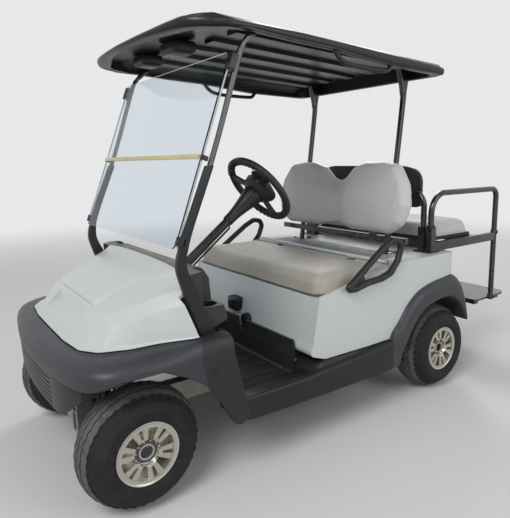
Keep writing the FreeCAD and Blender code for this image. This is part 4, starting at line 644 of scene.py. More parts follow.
# height above the axle and the reach from the kingpin that the turning tyre needs
TYRE_REACH = [(0, 262), (72, 262), (107, 242), (134, 227), (159, 209), (184, 184), (209, 146), (240, 0)]
TYRE_GAP = 4.0
KINGPIN = 352.0
AXLE_HIGH = 228.0
# points up to this far past the grooves keep their places, where at least so much of the row's end is left
FIXED_MARGIN = 16
LEAST_END = 8


def beside_tyre(row):
    """A bumper row ended on both sides where the turning tyre passes, with as many points as before.

    Points between the grooves' ends keep their places, so that the grooves line up in all rows.
    """
    row = np.array(row) * 1000
    along = np.concatenate([[0.0], np.cumsum(np.linalg.norm(np.diff(row, axis=0), axis=1))])
    fine = np.linspace(0.0, along[-1], 1200)
    points = np.stack([np.interp(fine, along, row[:, k]) for k in range(3)], axis=1)
    reach = level(TYRE_REACH, points[:, 2] - AXLE_HIGH)
    gap = np.hypot(points[:, 0] - front(0) * 1000, np.abs(points[:, 1]) - KINGPIN) - reach
    kept = np.where(gap > TYRE_GAP)[0]
    ends = fine[kept[0]], fine[kept[-1]]
    inner = np.where(np.abs(row[:, 1]) < GROOVE_REACH + FIXED_MARGIN)[0]
    first, last = inner[0], inner[-1]
    if along[first] > ends[0] + LEAST_END and along[last] < ends[1] - LEAST_END:
        share = np.concatenate([np.linspace(ends[0], along[first], first + 1)[:-1], along[first:last + 1],
                                np.linspace(along[last], ends[1], len(row) - last)[1:]])
    else:
        share = np.linspace(ends[0], ends[1], len(row))
    return [tuple(np.interp(t, along, row[:, k]) / 1000 for k in range(3)) for t in share]


def make_bumper():
    half = eased(BUMPER, 12)
    plan = [(x, -y) for x, y in reversed(half[1:])] + half
    levels = [(z, inset, 0.0) for z, inset in BUMPER_RISE]
    for k in range(GROOVES):
        for step, cut in ((-3.4, 0.0), (-2.6, GROOVE_CUT), (2.6, GROOVE_CUT), (3.4, 0.0)):
            levels.append((GROOVE_LOW + k * GROOVE_STEP + step, 6.0 - k, cut))
    levels += [(z, inset, 0.0) for z, inset in BUMPER_TOP]
    rows = []
    for z, inset, groove in levels:
        row = []
        for x, y in plan:
            cut = groove * clamp((GROOVE_REACH - abs(y)) / 10)
            row.append(at(x - inset * 0.8 - cut, y * (1 - inset / BUMPER_SPAN), z))
        rows.append(beside_tyre(row))
    form = Form()
    form.skin(rows, closed=False)
    for k in (0, -1):
        inner = [(x - 0.018, y * 0.94, z) for x, y, z in rows[k]]
        form.skin([rows[k], inner], closed=False)
    for end in (0, -1):
        side = [row[end] for row in rows]
        form.skin([side, [(x - 0.004, y * 0.95, z) for x, y, z in side]], closed=False)
    bumper = form.piece("bumper_shell", FENDER, "root", "trim", 40.0)
    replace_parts(bumper, "front_bumper")


# Struts and posts: slim bars with covers

# height, front edge ahead of the axle, depth along X, width along Y
STRUT = [(1726, -487, 40, 22), (1690, -452, 30, 20), (1640, -423, 22, 18), (1391, -341, 20, 16),
         (1225, -281, 20, 16), (1000, -188, 22, 18), (940, -166, 24, 20)]
STRUT_COVER = [(1232, -278, 30, 24), (1224, -274, 31, 26), (1135, -237, 31, 26), (1000, -180, 33, 26),
               (940, -160, 34, 28), (905, -150, 36, 30), (856, -149, 42, 32), (765, -176, 56, 34), (680, -203, 62, 34),
               (600, -230, 64, 34), (552, -246, 62, 34)]
# a strut's foot plate from the side
STRUT_WEB = [(-176, 829), (-201, 800), (-245, 726), (-268, 672), (-290, 600), (-240, 600), (-190, 720), (-166, 800)]
WEB_FACES = (0.488, 0.506)
STRUT_OUTER = 520.0
# height, front edge ahead of the front axle, depth, width
POST = [(1722, -1520, 92, 34), (1696, -1526, 80, 34), (1640, -1543, 50, 30), (1590, -1552, 33, 26),
        (1540, -1554, 27, 24), (1241, -1515, 26, 24), (770, -1447, 26, 24), (749, -1446, 28, 26)]
POST_MIDDLE = 349.0
# the foot plate's back inner and front outer corners, its bolts' places, and its underside and top
POST_FOOT = ((-1506, 0.306), (-1420, 0.392))
POST_BOLTS = [(x, y) for x in (-1496, -1430) for y in (0.318, 0.380)]
POST_FACES = (0.7485, 0.7565)


def bar_rows(stations, outer, side, corner=0.3):
    """Rounded oblong rings for (height, front edge, depth, width) stations."""
    rows = []
    for z, x, deep, wide in stations:
        ring = oblong((x - deep, outer - wide), (x, outer), corner * min(deep, wide), 4)
        rows.append([at(u, side * v, z) for u, v in ring])
    return rows


def make_struts():
    bars, covers = Form(), Form()
    for side in (-1, 1):
        bars.skin(bar_rows(eased(STRUT, 5), STRUT_OUTER, side), caps=True)
        covers.skin(bar_rows(eased(STRUT_COVER, 5), STRUT_OUTER + 1, side, 0.28), caps=True)
        outline = [(front(x), z / 1000) for x, z in rounded(STRUT_WEB, 14)]
        covers.plate(outline, upright(side), *WEB_FACES, 0.003)
    tubes = bars.piece("strut_bars", MATERIALS["steel_black"], "root", "trim", 40.0)
    sleeves = covers.piece("strut_covers", STRUT_FINISH, "root", "trim", 40.0)
    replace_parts(tubes, "front_struts")
    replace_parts(sleeves, "front_struts")


def make_posts():
    form = Form()
    for side in (-1, 1):
        rows = []
        for station in eased(POST, 5):
            rows += bar_rows([station], POST_MIDDLE + station[3] / 2, side)
        form.skin(rows, caps=True)
        form.plate(oblong(*((front(x), side * y) for x, y in POST_FOOT), 0.008), flat, *POST_FACES, 0.0015)
        for x, y in POST_BOLTS:
            form.bolt((front(x), side * y, POST_FACES[1]), (0, 0, 1), 0.006)
    posts = form.piece("roof_posts", MATERIALS["steel_black"], "root", "steel_black", 40.0)
    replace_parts(posts, "rear_struts")


# Steering: column with its boot, and the wheel's boss and clipboard

COLUMN_LONG = 0.66
WHEEL_CENTRE = Vector(JOINT["steering_wheel_turn"]["pos_m"])
WHEEL_AXIS = Vector(JOINT["steering_wheel_turn"]["axis"]).normalized()
# from the column's foot, radius
COLUMN = [(0.0, 0.020), (0.440, 0.019), (0.442, 0.024), (0.452, 0.0245), (0.47, 0.0245), (0.50, 0.027),
          (0.54, 0.033), (0.575, 0.040), (0.60, 0.045), (0.618, 0.0475), (0.621, 0.046), (0.621, 0.012),
          (0.646, 0.0085)]


def make_column():
    form = Form()
    foot = WHEEL_CENTRE - WHEEL_AXIS * COLUMN_LONG
    form.turned(COLUMN, foot, WHEEL_AXIS, 32)
    side = Vector((0, 1, 0))
    drop = WHEEL_AXIS.cross(side)
    rod = foot + drop * 0.030
    form.tube([rod + WHEEL_AXIS * 0.03, rod + WHEEL_AXIS * 0.43, foot + WHEEL_AXIS * 0.45], 0.0045, 10)
    for along in (0.10, 0.44):
        form.turned([(0, 0.022), (0.004, 0.024), (0.012, 0.024), (0.016, 0.022)], foot + WHEEL_AXIS * along,
                    WHEEL_AXIS, 24)
    column = form.piece("column_tube", DARK, "root", "trim")
    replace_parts(column, "steering_column")


def wheel_place(u, v, w):
    """A point of the steering wheel: up its face, across, and out towards the driver."""
    up = Vector((0, 1, 0)).cross(WHEEL_AXIS)
    return WHEEL_CENTRE + u * up + Vector((0, v, 0)) + w * WHEEL_AXIS


# out along the wheel's axis, shift up its face, half length, half width
BOSS = [(-0.036, 0.0, 0.049, 0.049), (-0.026, 0.0, 0.056, 0.058), (-0.014, -0.002, 0.064, 0.070),
        (-0.004, -0.003, 0.070, 0.079), (0.008, -0.004, 0.072, 0.083), (0.018, -0.004, 0.068, 0.080),
        (0.022, -0.004, 0.060, 0.073)]
GRIPS = 44
RIM_RADIUS = 0.162
GRIP_RADIUS = 0.0166


def make_wheel_boss():
    """The steering wheel's boss with its clipboard, and the finger grips round the rim."""
    form = Form()
    shell = []
    for w, u0, half_u, half_v in BOSS:
        ring = []
        for a in angles(40):
            c, s = math.cos(a), math.sin(a)
            ring.append(wheel_place(u0 + half_u * math.copysign(abs(c) ** 0.75, c),
                                    half_v * math.copysign(abs(s) ** 0.75, s), w))
        shell.append(ring)
    form.skin(shell, caps=True)
    board = rounded([(-0.070, -0.044), (-0.070, 0.044), (-0.02, 0.070), (0.040, 0.080), (0.060, 0.060),
                     (0.066, 0.0), (0.060, -0.060), (0.040, -0.080), (-0.02, -0.070)], 0.03)
    rows = []
    for inset, w in ((0.004, 0.021), (0.0, 0.023), (0.0, 0.027), (0.002, 0.029), (0.012, 0.0275)):
        rows.append([wheel_place(u, v, w - 0.9 * v * v) for u, v in shrunk(board, inset)])
    form.skin(rows, caps=True, kind=1)
    clip = rounded([(0.040, -0.024), (0.040, 0.024), (0.070, 0.030), (0.078, 0.020), (0.078, -0.020), (0.070, -0.030)],
                   0.006)
    form.plate(clip, wheel_place, 0.026, 0.040, 0.004, kind=1)
    for v in (-0.016, 0.016):
        form.turned([(0.0, 0.009), (0.010, 0.009), (0.014, 0.006)], wheel_place(0.060, v, 0.038), WHEEL_AXIS, 16,
                    kind=1)
    form.piece("wheel_boss", [DARK, CLIPBOARD], "steering_wheel", "trim", 40.0)
    grips = Form()
    for a in angles(GRIPS):
        a += 0.02
        if abs(math.sin(a)) < 0.86:
            ring = []
            for s in range(11):
                b = math.pi * (1.08 + 0.84 * s / 10)
                reach = RIM_RADIUS + GRIP_RADIUS * math.cos(b)
                ring.append(wheel_place(reach * math.cos(a), reach * math.sin(a), GRIP_RADIUS * math.sin(b)))
            grips.tube(ring, 0.0032, 6)
    grips.piece("wheel_grips", DARK, "steering_wheel", "trim")


# Small fittings

# ahead of the axle, height: the handhold under the roof's side
HANDHOLD = [(-880, 1700), (-905, 1672), (-948, 1651), (-1038, 1643), (-1187, 1643), (-1218, 1650), (-1238, 1672)]
HANDHOLD_OUT = 541


def make_handholds():
    form = Form()
    for side in (-1, 1):
        form.tube(eased([at(x, side * HANDHOLD_OUT, z) for x, z in HANDHOLD], 6), 0.0105, 12)
    form.piece("roof_handholds", DARK, "root", "roof")


# ahead, across
DECK_MAT = [(-0.172, -0.455), (-0.172, 0.455), (-0.352, 0.455), (-0.352, -0.455)]
# ahead, height
DECK_LIP = [(-0.1515, 0.7475), (-0.1505, 0.7535), (-0.1475, 0.7585), (-0.1425, 0.7605), (-0.1375, 0.7585),
            (-0.1345, 0.7535), (-0.1335, 0.7475)]


def make_deck():
    """The tray's textured mat and the raised lip behind the bench cushion."""
    form = Form()
    mat = rounded(DECK_MAT, 0.02)
    form.plate(mat, flat, 0.7482, 0.7515, 0.001)
    form.piece("deck_mat", MAT_GREY, "root", "body")
    lip = Form()
    lip.skin([[(x, y, z) for y in np.linspace(-0.53, 0.53, 30)] for x, z in DECK_LIP], closed=False)
    lip.piece("deck_lip", MATERIALS["body"], "root", "body")


# how far out the rear seat's side bars reach
RAIL_OUT = 0.4905


def make_reflectors():
    """White and red reflectors on the rear seat's side bars."""
    form = Form()
    for side in (-1, 1):
        for x, kind in ((rear(-250), 0), (rear(-330), 1)):
            form.plate(oblong((x - 0.034, 0.766), (x + 0.034, 0.786), 0.003), upright(side), RAIL_OUT + 0.0005,
                       RAIL_OUT + 0.0035, 0.0006, kind=kind)
    form.piece("reflectors", [REFLECT_WHITE, REFLECT_RED], "root", "steel_black")


# ahead of the rear axle in millimetres, height in metres
COLLARS = [(9, 0.886), (-636, 0.800), (-636, 0.392)]
# along the rail from the clamp's middle, radius
COLLAR = [(-0.014, 0.0168), (-0.013, 0.0205), (0.013, 0.0205), (0.014, 0.0168)]


def make_collars():
    """Clamps and bolts where the grab rails enter their sockets and meet the seat frame."""
    form = Form()
    for side in (-1, 1):
        y = side * 0.490
        for x, z in COLLARS:
            form.turned(COLLAR, (rear(x), y, z), (0, 0, 1), 24, caps=False)
            form.bolt((rear(x), y + side * 0.0195, z), (0, side, 0), 0.0065)
    form.piece("rail_collars", MATERIALS["steel_black"], "root", "steel_black")


# height of each clip, its length along the strut and its width
CLIPS = [(1604, 0.060, 0.034), (1262, 0.018, 0.012), (968, 0.032, 0.026)]
# height, front face of the screen ahead of the front axle
SCREEN_LINE = [(940, -150), (1266, -269), (1640, -406)]
# along the screen and out from its face
SCREEN_UP = Vector((-0.35, 0, 0.937))
SCREEN_OUT = Vector((0.937, 0, 0.35))


def make_clips():
    """Screen clips on the struts, with their screws, and pale strips along the sheets' edges as a painted glint."""
    form, trim = Form(), Form()
    for side in (-1, 1):
        for z, long, wide in CLIPS:
            middle = Vector(at(level(SCREEN_LINE, z) - 6, side * 508, z))
            outline = oblong((-long, -wide / 2), (long, wide / 2), 0.004)
            outline = [(u * 0.5, v) for u, v in outline]

            def place(u, v, w, middle=middle, side=side):
                return middle + u * SCREEN_UP + Vector((0, side * v, 0)) + w * SCREEN_OUT
                return middle + u * lean + Vector((0, side * v, 0)) + w * across

            form.plate(outline, place, -0.016, 0.013, 0.002)
            if long > 0.03:
                for u in (-0.012, 0.012):
                    form.turned([(0, 0.0045), (0.002, 0.0045), (0.0028, 0.003)], place(u, 0.002, 0.013), SCREEN_OUT,
                                12)
        # pale tubes along the sheets' edges: a painted glint of light on the acrylic edges, not a real trim strip
        for low, high in ((944, 1258), (1274, 1632)):
            path = [at(level(SCREEN_LINE, z) - 3, side * 501.5, z) for z in np.linspace(low, high, 8)]
            trim.tube(path, 0.0034, 8)
    clips = form.piece("screen_clips", DARK, "root", "steel_black")
    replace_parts(clips, "windscreen_clips")
    trim.piece("screen_edges", EDGE_GLINT_PAINT, "root", "screen")


# Roof rim: a rolled edge round the moulded roof

# ahead of the front axle, height
ROOF_TOP = [(-1645, 1722), (-1572, 1731), (-1092, 1751), (-712, 1766), (-404, 1767), (-232, 1752), (-160, 1722)]
ROOF_FOOT = [(-1645, 1662), (-1208, 1668), (-868, 1696), (-657, 1703), (-475, 1714), (-160, 1714)]
# ahead of the front axle, from the middle
ROOF_PLAN = [(-1640, 0), (-1640, 470), (-1628, 530), (-1560, 556), (-900, 561), (-420, 558), (-330, 530), (-250, 470),
             (-205, 350), (-178, 190), (-166, 0)]


def make_roof_rim():
    half = eased(ROOF_PLAN, 8)
    loop = spread(half + [(x, -y) for x, y in reversed(half[1:-1])], 260)
    rows = []
    for (x, y), (ix, iy) in zip(loop, shrunk(loop, 1.0)):
        inward = Vector((ix - x, iy - y)).normalized()
        foot = level(ROOF_FOOT, x)
        top = max(level(ROOF_TOP, x) - 30 * clamp((abs(y) - 430) / 130) ** 2, foot + 12)
        high = (top - foot) / 2
        middle = (top + foot) / 2
        ring = []
        for k in range(17):
            a = math.pi * (k / 16 - 0.5)
            out = 3.0 - 26 * (1 - math.cos(a) ** 0.55)
            ring.append(at(x - inward.x * out, y - inward.y * out, middle + (high + 1.5) * math.sin(a)))
        rows.append(ring)
    rows.append(rows[0])
    form = Form()
    form.skin(rows, closed=False)
    form.piece("roof_rim", MATERIALS["roof"], "root", "roof", 60.0)


def make_selector():
    """Selector housing with its lever, in place of the frame's plain block."""
    low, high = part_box("selector")
    form = Form()
    base, face = low[0] + 0.001, high[0]
    y, z = (low[1] + high[1]) / 2, (low[2] + high[2]) / 2
    wide, tall = (high[1] - low[1]) * 0.36, (high[2] - low[2]) * 0.44
    outline = oblong((y - wide, z - tall), (y + wide, z + tall), 0.016)
    rows = []
    for inset, x in ((0.0, base), (0.0, face - 0.010), (0.002, face - 0.004), (0.006, face), (0.013, face + 0.003)):
        rows.append([(x, u, v) for u, v in shrunk(outline, inset)])
    form.skin(rows, caps=True)
    form.turned([(0, 0.014), (0.008, 0.013), (0.012, 0.010)], (face + 0.002, y, z), (1, 0, 0), 24)
    form.tube([(face + 0.010, y, z - 0.020), (face + 0.014, y, z + 0.020)], 0.007, 12)
    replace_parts(form.piece("selector_housing", DARK, "root", "trim"), "selector")


# Rear arch flares: rolled skins round the rear wheels
# outer edge (ahead of the axle, height, distance from the middle plane), then the inner edge (ahead, height)
FLARE = [(409, 229, 589, 370, 231), (411, 300, 589, 332, 302), (410, 370, 586, 290, 362), (388, 410, 572, 262, 402),
         (350, 446, 561, 232, 436), (316, 486, 559, 198, 466), (278, 526, 559, 156, 489), (200, 577, 559, 96, 505),
         (97, 606, 559, 44, 513), (-10, 619, 559, -10, 515), (-86, 625, 559, -62, 508), (-124, 610, 558, -108, 488),
         (-156, 578, 554, -149, 455), (-180, 535, 549, -181, 412), (-199, 482, 544, -202, 376),
         (-212, 426, 542, -212, 358), (-219, 376, 542, -218, 348)]
# share of the way to the inner edge, distance from the middle plane
FLARE_SECTION = [(0.05, 572), (0.14, 582), (0.30, 589), (0.52, 592.5), (0.74, 593), (0.90, 591.5), (0.97, 588),
                 (1.0, 582), (1.005, 572), (1.0, 556), (0.96, 480), (0.94, 405)]
# the inner side closes behind this distance from the rear axle
FLARE_BACK = -150


def make_flares():
    form = Form()
    for side in (-1, 1):
        rows = []
        for ox, oz, oy, ix, iz in eased(FLARE, 5):
            behind = clamp((FLARE_BACK - ox) / 30)
            row = [(rear(ox + 8 * behind), side * (540 - 90 * behind) / 1000, oz / 1000),
                   (rear(ox), side * oy / 1000, oz / 1000)]
            for share, y in FLARE_SECTION:
                x, z = ox + (ix - ox) * share, oz + (iz - oz) * share
                row.append((rear(x), side * max(y, oy if share < 0.5 else y) / 1000, z / 1000))
            rows.append(row)
        form.skin(rows, closed=False, caps=True)
    flares = form.piece("flare_skins", [FENDER], "root", "trim", 60.0)
    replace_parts(flares, "rear_flares")


# Rockers: the long sills with their step ledge
# ahead of the front axle, outer top edge, bottom edge, height of the ledge beside the floor
ROCKER = [(-345, 350, 250, 338), (-380, 348, 246, 330), (-450, 344, 240, 326), (-560, 341, 235, 327),
          (-680, 339, 231, 329), (-742, 340, 229, 331), (-768, 342, 228, 346), (-792, 344, 228, 366),
          (-830, 345, 227, 371), (-1010, 352, 224, 371), (-1254, 366, 221, 371)]
ROCKER_OUT = 589.0


def make_rockers():
    form = Form()
    for side in (-1, 1):
        rows = []
        for x, top, low, ledge in eased(ROCKER, 6):
            inner = min(ledge - 2, 331)
            line = [(444, 262), (444, 300), (446, 303), (458, 304), (463, 308), (467, inner - 5), (472, inner),
                    (482, ledge - 1), (492, ledge), (545, ledge - 2), (554, ledge - 5), (561, top + 1), (568, top - 1),
                    (579, top - 2), (585, top - 4), (588, top - 8), (ROCKER_OUT, top - 14), (ROCKER_OUT, low + 16),
                    (588, low + 6), (584, low + 1), (577, low - 1), (560, low + 1), (548, low + 14)]
            inward = 60 * clamp((-738 - x) / 20)
            rows.append([at(x, side * (y - inward if y < 500 else y), z) for y, z in line])
        form.skin(rows, closed=False, caps=True)
    rockers = form.piece("rocker_skins", STRUT_FINISH, "root", "trim", 40.0)
    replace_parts(rockers, "rockers")


# middle line of the armrest's loop: ahead of the front axle, height
ARMREST = [(-934, 678), (-1000, 722), (-1080, 777), (-1170, 837), (-1234, 868), (-1284, 860), (-1300, 826),
           (-1276, 766), (-1228, 712), (-1160, 694), (-1070, 689), (-985, 672)]
ARMREST_BENDS = [12, 60, 60, 60, 26, 24, 24, 40, 30, 40, 60, 40]
ARMREST_OUT = 576.5
ARMREST_FOOT = [(-934, 690), (-1034, 735), (-1052, 700), (-948, 664)]


def make_armrests():
    """Closed loops at both ends of the bench, with a foot at the front where they bolt on."""
    form = Form()
    for side in (-1, 1):
        loop = spread(rounded(ARMREST, ARMREST_BENDS, 6), 110)
        path = [at(x, side * ARMREST_OUT, z) for x, z in loop]
        form.tube(path + path[:2], 0.0158, 14, caps=False)
        foot = [(front(x), z / 1000) for x, z in rounded(ARMREST_FOOT, 10)]
        form.plate(foot, upright(side), 0.562, 0.583, 0.004)
    loops = form.piece("armrest_loops", DARK, "root", "trim", 60.0)
    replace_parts(loops, "armrests")


# distance from the middle plane and half width of each box under the roof's front
ROOF_PODS = [(-252, 62), (64, 78)]
# the boxes' back and front ends ahead of the front axle, and their underside and top
ROOF_POD_ENDS = (-466, -356)
ROOF_POD_FACES = (1.703, 1.752)


def make_roof_pods():
    form = Form()
    for middle, half in ROOF_PODS:
        box = [(front(x), y / 1000) for x, y in zip(ROOF_POD_ENDS, (middle - half, middle + half))]
        form.plate(oblong(*box, 0.026, 8), flat, *ROOF_POD_FACES, 0.009)
    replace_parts(form.piece("roof_pod_cases", DARK, "root", "trim", 60.0), "roof_pods")


# Materials

DUST = (0.34, 0.31, 0.26)


class Nodes:
    """A short way to write shader nodes."""

    def __init__(self, tree):
        self.tree = tree

    def wire(self, node, inputs):
        """Sets a node's inputs, or links them to other nodes' outputs."""
        for key, value in inputs.items():
            socket = node.inputs[key]
            if isinstance(value, bpy.types.NodeSocket):
                self.tree.links.new(value, socket)
            elif socket.type == "RGBA":
                socket.default_value = (*value, 1.0)
            else:
                socket.default_value = value
        return node

    def add(self, kind, inputs=None, **settings):
        node = self.tree.nodes.new(kind)
        for key, value in settings.items():
            setattr(node, key, value)
        return self.wire(node, inputs or {})

    def height(self, vector):
        return self.add("ShaderNodeSeparateXYZ", {0: vector}).outputs[2]

    def noise(self, coords, scale, detail=3.0, rough=0.55, stretch=None):
        if stretch:
            coords = self.add("ShaderNodeMapping", {"Vector": coords, "Scale": stretch}).outputs[0]
        return self.add(
            "ShaderNodeTexNoise", {"Vector": coords, "Scale": scale, "Detail": detail, "Roughness": rough}
        ).outputs["Fac"]

    def ramp(self, value, low, high, start=0.0, end=1.0):
        return self.add(
            "ShaderNodeMapRange",
            {"Value": value, "From Min": low, "From Max": high, "To Min": start, "To Max": end},
            clamp=True, interpolation_type="SMOOTHSTEP",
        ).outputs[0]

    def math(self, operation, a, b=0.0):
        return self.add("ShaderNodeMath", {0: a, 1: b}, operation=operation).outputs[0]

    def mix(self, fac, a, b):
        return self.add("ShaderNodeMix", {0: fac, 6: a, 7: b}, data_type="RGBA").outputs[2]


def blank_material(name):
    """A new material, a writer for its nodes, and its shader."""
    mat = bpy.data.materials.new(name)
    mat.use_nodes = True
    return mat, Nodes(mat.node_tree), mat.node_tree.nodes["Principled BSDF"]


def finish(name, colour, rough, grain, metallic=0.0, tone=None, mottle=(0.5, 6.0), leather=False, wear=None,
           dust=None, specular=0.5, coat=(0.0, 0.1), rough_spread=0.08, streak=None, sheen=0.0, upper=None,
           settled=0.0):
    """A surface finish: mottled colour, grain, worn edges and dust towards the ground.

    grain is (scale, depth), mottle (amount, scale), wear (amount, colour), dust (amount, height where it ends),
    coat (weight, roughness), upper (height, colour above it) and settled the dust on what faces up.
    """
    mat, n, shader = blank_material(name)
    coords = n.add("ShaderNodeTexCoord").outputs["Object"]
    cloud = n.noise(coords, mottle[1], 4.0, 0.6)
    tone = tone or tuple(c * 0.86 for c in colour)
    paint = n.mix(n.ramp(cloud, 0.35, 0.7, 0.0, mottle[0]), colour, tone)
    if streak:
        lines = n.noise(coords, 30.0, 5.0, 0.7, streak)
        paint = n.mix(n.ramp(lines, 0.5, 0.75, 0.0, 0.25), paint, tuple(c * 0.8 for c in colour))
    if wear:
        edge = n.add("ShaderNodeNewGeometry").outputs["Pointiness"]
        scratch = n.noise(coords, 45.0, 5.0, 0.7)
        worn = n.math("MULTIPLY", n.ramp(edge, 0.52, 0.60), n.ramp(scratch, 0.4, 0.62, 0.0, wear[0]))
        paint = n.mix(worn, paint, wear[1])
    shade = n.ramp(cloud, 0.3, 0.7, rough - rough_spread, rough + rough_spread)
    if upper:
        height = n.height(coords)
        paint = n.mix(n.ramp(height, upper[0], upper[0] + 0.003), paint, upper[1])
    if settled:
        facing = n.height(n.add("ShaderNodeNewGeometry").outputs["Normal"])
        lying = n.math("MULTIPLY", n.ramp(facing, 0.4, 0.95), n.ramp(n.noise(coords, 7.0, 6.0, 0.65), 0.2, 0.7))
        paint = n.mix(n.math("MULTIPLY", lying, settled), paint, DUST)
    if dust:
        height = n.height(coords)
        low = n.ramp(height, dust[1], 0.05)
        speck = n.ramp(n.noise(coords, 14.0, 6.0, 0.65), 0.35, 0.75)
        cover = n.math("MULTIPLY", n.math("MULTIPLY", low, speck), dust[0])
        paint = n.mix(cover, paint, DUST)
        shade = n.math("ADD", shade, n.math("MULTIPLY", cover, 0.3))
    scale, depth = grain
    if leather:
        cells = n.add("ShaderNodeTexVoronoi", {"Vector": coords, "Scale": scale}, feature="F1").outputs[0]
        fine = n.math("ADD", cells, n.math("MULTIPLY", n.noise(coords, scale * 0.12), 0.8))
    else:
        fine = n.noise(coords, scale, 2.0, 0.5)
    bump = n.add("ShaderNodeBump", {"Height": fine, "Strength": 0.6, "Distance": depth})
    n.wire(shader, {"Base Color": paint, "Roughness": shade, "Normal": bump.outputs[0], "Metallic": metallic,
                    "Specular IOR Level": specular, "Coat Weight": coat[0], "Coat Roughness": coat[1],
                    "Sheen Weight": sheen})
    return mat


def clear_sheet(name, tint, rough):
    """Acrylic: lightly tinted, with a faint uneven haze."""
    mat, n, shader = blank_material(name)
    coords = n.add("ShaderNodeTexCoord").outputs["Object"]
    haze = n.ramp(n.noise(coords, 9.0, 6.0, 0.7), 0.4, 0.8, rough, rough + 0.12)
    n.wire(shader, {"Base Color": tint, "IOR": 1.15, "Transmission Weight": 1.0, "Roughness": haze})
    return mat


MATERIALS = {
    "body": finish("body_shell", (0.53, 0.56, 0.555), 0.34, (350.0, 0.0001), tone=(0.50, 0.53, 0.525),
                   mottle=(0.2, 2.0), wear=(0.12, (0.62, 0.63, 0.62)), dust=(0.16, 0.55), coat=(0.15, 0.25),
                   rough_spread=0.05),
    "trim": finish("charcoal_plastic", (0.019, 0.0195, 0.022), 0.46, (900.0, 0.0003), tone=(0.026, 0.0265, 0.029),
                   mottle=(0.3, 3.5), wear=(0.35, (0.07, 0.07, 0.072)), dust=(0.16, 0.36), rough_spread=0.05,
                   specular=0.32),
    "roof": finish("roof_shell", (0.0075, 0.0078, 0.0088), 0.34, (600.0, 0.0002), tone=(0.011, 0.011, 0.012),
                   mottle=(0.3, 2.5), rough_spread=0.04, specular=0.36),
    "chassis": finish("frame_aluminium", (0.34, 0.33, 0.31), 0.48, (250.0, 0.0002), metallic=0.8,
                      streak=(1.0, 14.0, 14.0), dust=(0.6, 0.5)),
    "steel_black": finish("black_powder_coat", (0.008, 0.008, 0.009), 0.22, (500.0, 0.00015),
                          tone=(0.012, 0.012, 0.012), wear=(0.5, (0.08, 0.08, 0.08)), coat=(0.4, 0.12)),
    "axle_steel": finish("chassis_paint", (0.020, 0.020, 0.020), 0.5, (200.0, 0.0004),
                         wear=(0.7, (0.12, 0.08, 0.05)), dust=(0.6, 0.45)),
    "vinyl_light": finish("light_vinyl", (0.50, 0.50, 0.49), 0.46, (420.0, 0.0006), tone=(0.44, 0.44, 0.43),
                          mottle=(0.5, 4.0), leather=True, sheen=0.1),
    "vinyl_beige": finish("beige_vinyl", (0.36, 0.335, 0.285), 0.45, (420.0, 0.0006), tone=(0.30, 0.28, 0.235),
                          mottle=(0.5, 4.0), leather=True, sheen=0.1),
    "board": finish("seat_board", (0.016, 0.016, 0.016), 0.6, (300.0, 0.0002)),
    "tyre": finish("tread_rubber", (0.013, 0.013, 0.013), 0.72, (700.0, 0.0004), tone=(0.030, 0.029, 0.027),
                   mottle=(0.7, 18.0), specular=0.22),
    "wheel": finish("champagne_metal", (0.52, 0.49, 0.42), 0.30, (500.0, 0.0001), metallic=0.75,
                    tone=(0.42, 0.39, 0.33), mottle=(0.5, 12.0), wear=(0.3, (0.20, 0.18, 0.15)), coat=(0.2, 0.2)),
    "screen": clear_sheet("screen_acrylic", (0.80, 0.86, 0.91), 0.02),
    "strip": finish("hinge_strip", (0.52, 0.46, 0.24), 0.5, (300.0, 0.0002), tone=(0.42, 0.36, 0.18)),
    "battery": finish("battery_case", (0.03, 0.03, 0.03), 0.6, (200.0, 0.0002), dust=(0.5, 0.6)),
    "hinge_board": finish("hinged_board", (0.016, 0.016, 0.016), 0.6, (300.0, 0.0002),
                          upper=(0.741, (0.50, 0.52, 0.51))),
    "dash": finish("dusty_dash", (0.018, 0.018, 0.019), 0.55, (800.0, 0.0003), tone=(0.026, 0.026, 0.026),
                   mottle=(0.4, 5.0), settled=0.55),
}
FENDER = finish("fender_plastic", (0.036, 0.037, 0.043), 0.42, (800.0, 0.0003), tone=(0.043, 0.044, 0.049),
                mottle=(0.35, 3.0), wear=(0.3, (0.09, 0.09, 0.092)), dust=(0.15, 0.50), rough_spread=0.06,
                specular=0.36)
STRUT_FINISH = finish("strut_plastic", (0.014, 0.0145, 0.016), 0.38, (900.0, 0.0002), tone=(0.019, 0.0195, 0.021),
                      mottle=(0.3, 3.0), wear=(0.4, (0.06, 0.06, 0.062)), specular=0.3)
DARK = finish("dark_moulding", (0.011, 0.011, 0.012), 0.40, (700.0, 0.0003), tone=(0.016, 0.016, 0.017),
              mottle=(0.3, 9.0), wear=(0.4, (0.05, 0.05, 0.05)), specular=0.34)
CLIPBOARD = finish("clipboard_plastic", (0.020, 0.0195, 0.019), 0.36, (700.0, 0.0003), tone=(0.034, 0.032, 0.029),
                   mottle=(0.5, 14.0))
TREAD = finish("dusty_tread", (0.118, 0.115, 0.109), 0.85, (500.0, 0.0006), tone=(0.070, 0.069, 0.066),
               mottle=(0.9, 22.0), specular=0.25)
BRIGHT = finish("bright_rim", (0.62, 0.62, 0.60), 0.20, (500.0, 0.00005), metallic=0.9, mottle=(0.5, 15.0))
CAP = finish("dark_cap", (0.012, 0.011, 0.011), 0.3, (400.0, 0.0001), mottle=(0.5, 30.0), coat=(0.3, 0.1))
RECESS_GREY = finish("recess_grey", (0.075, 0.08, 0.09), 0.45, (400.0, 0.0001), metallic=0.3, mottle=(0.5, 30.0))
# light grey of the screen edge strips: a painted glint on the acrylic sheets' edges
EDGE_GLINT_PAINT = finish("screen_edge", (0.42, 0.44, 0.45), 0.3, (300.0, 0.0001), mottle=(0.5, 30.0))
STITCH = finish("stitch_thread", (0.36, 0.37, 0.37), 0.7, (1500.0, 0.0002), mottle=(0.5, 60.0))
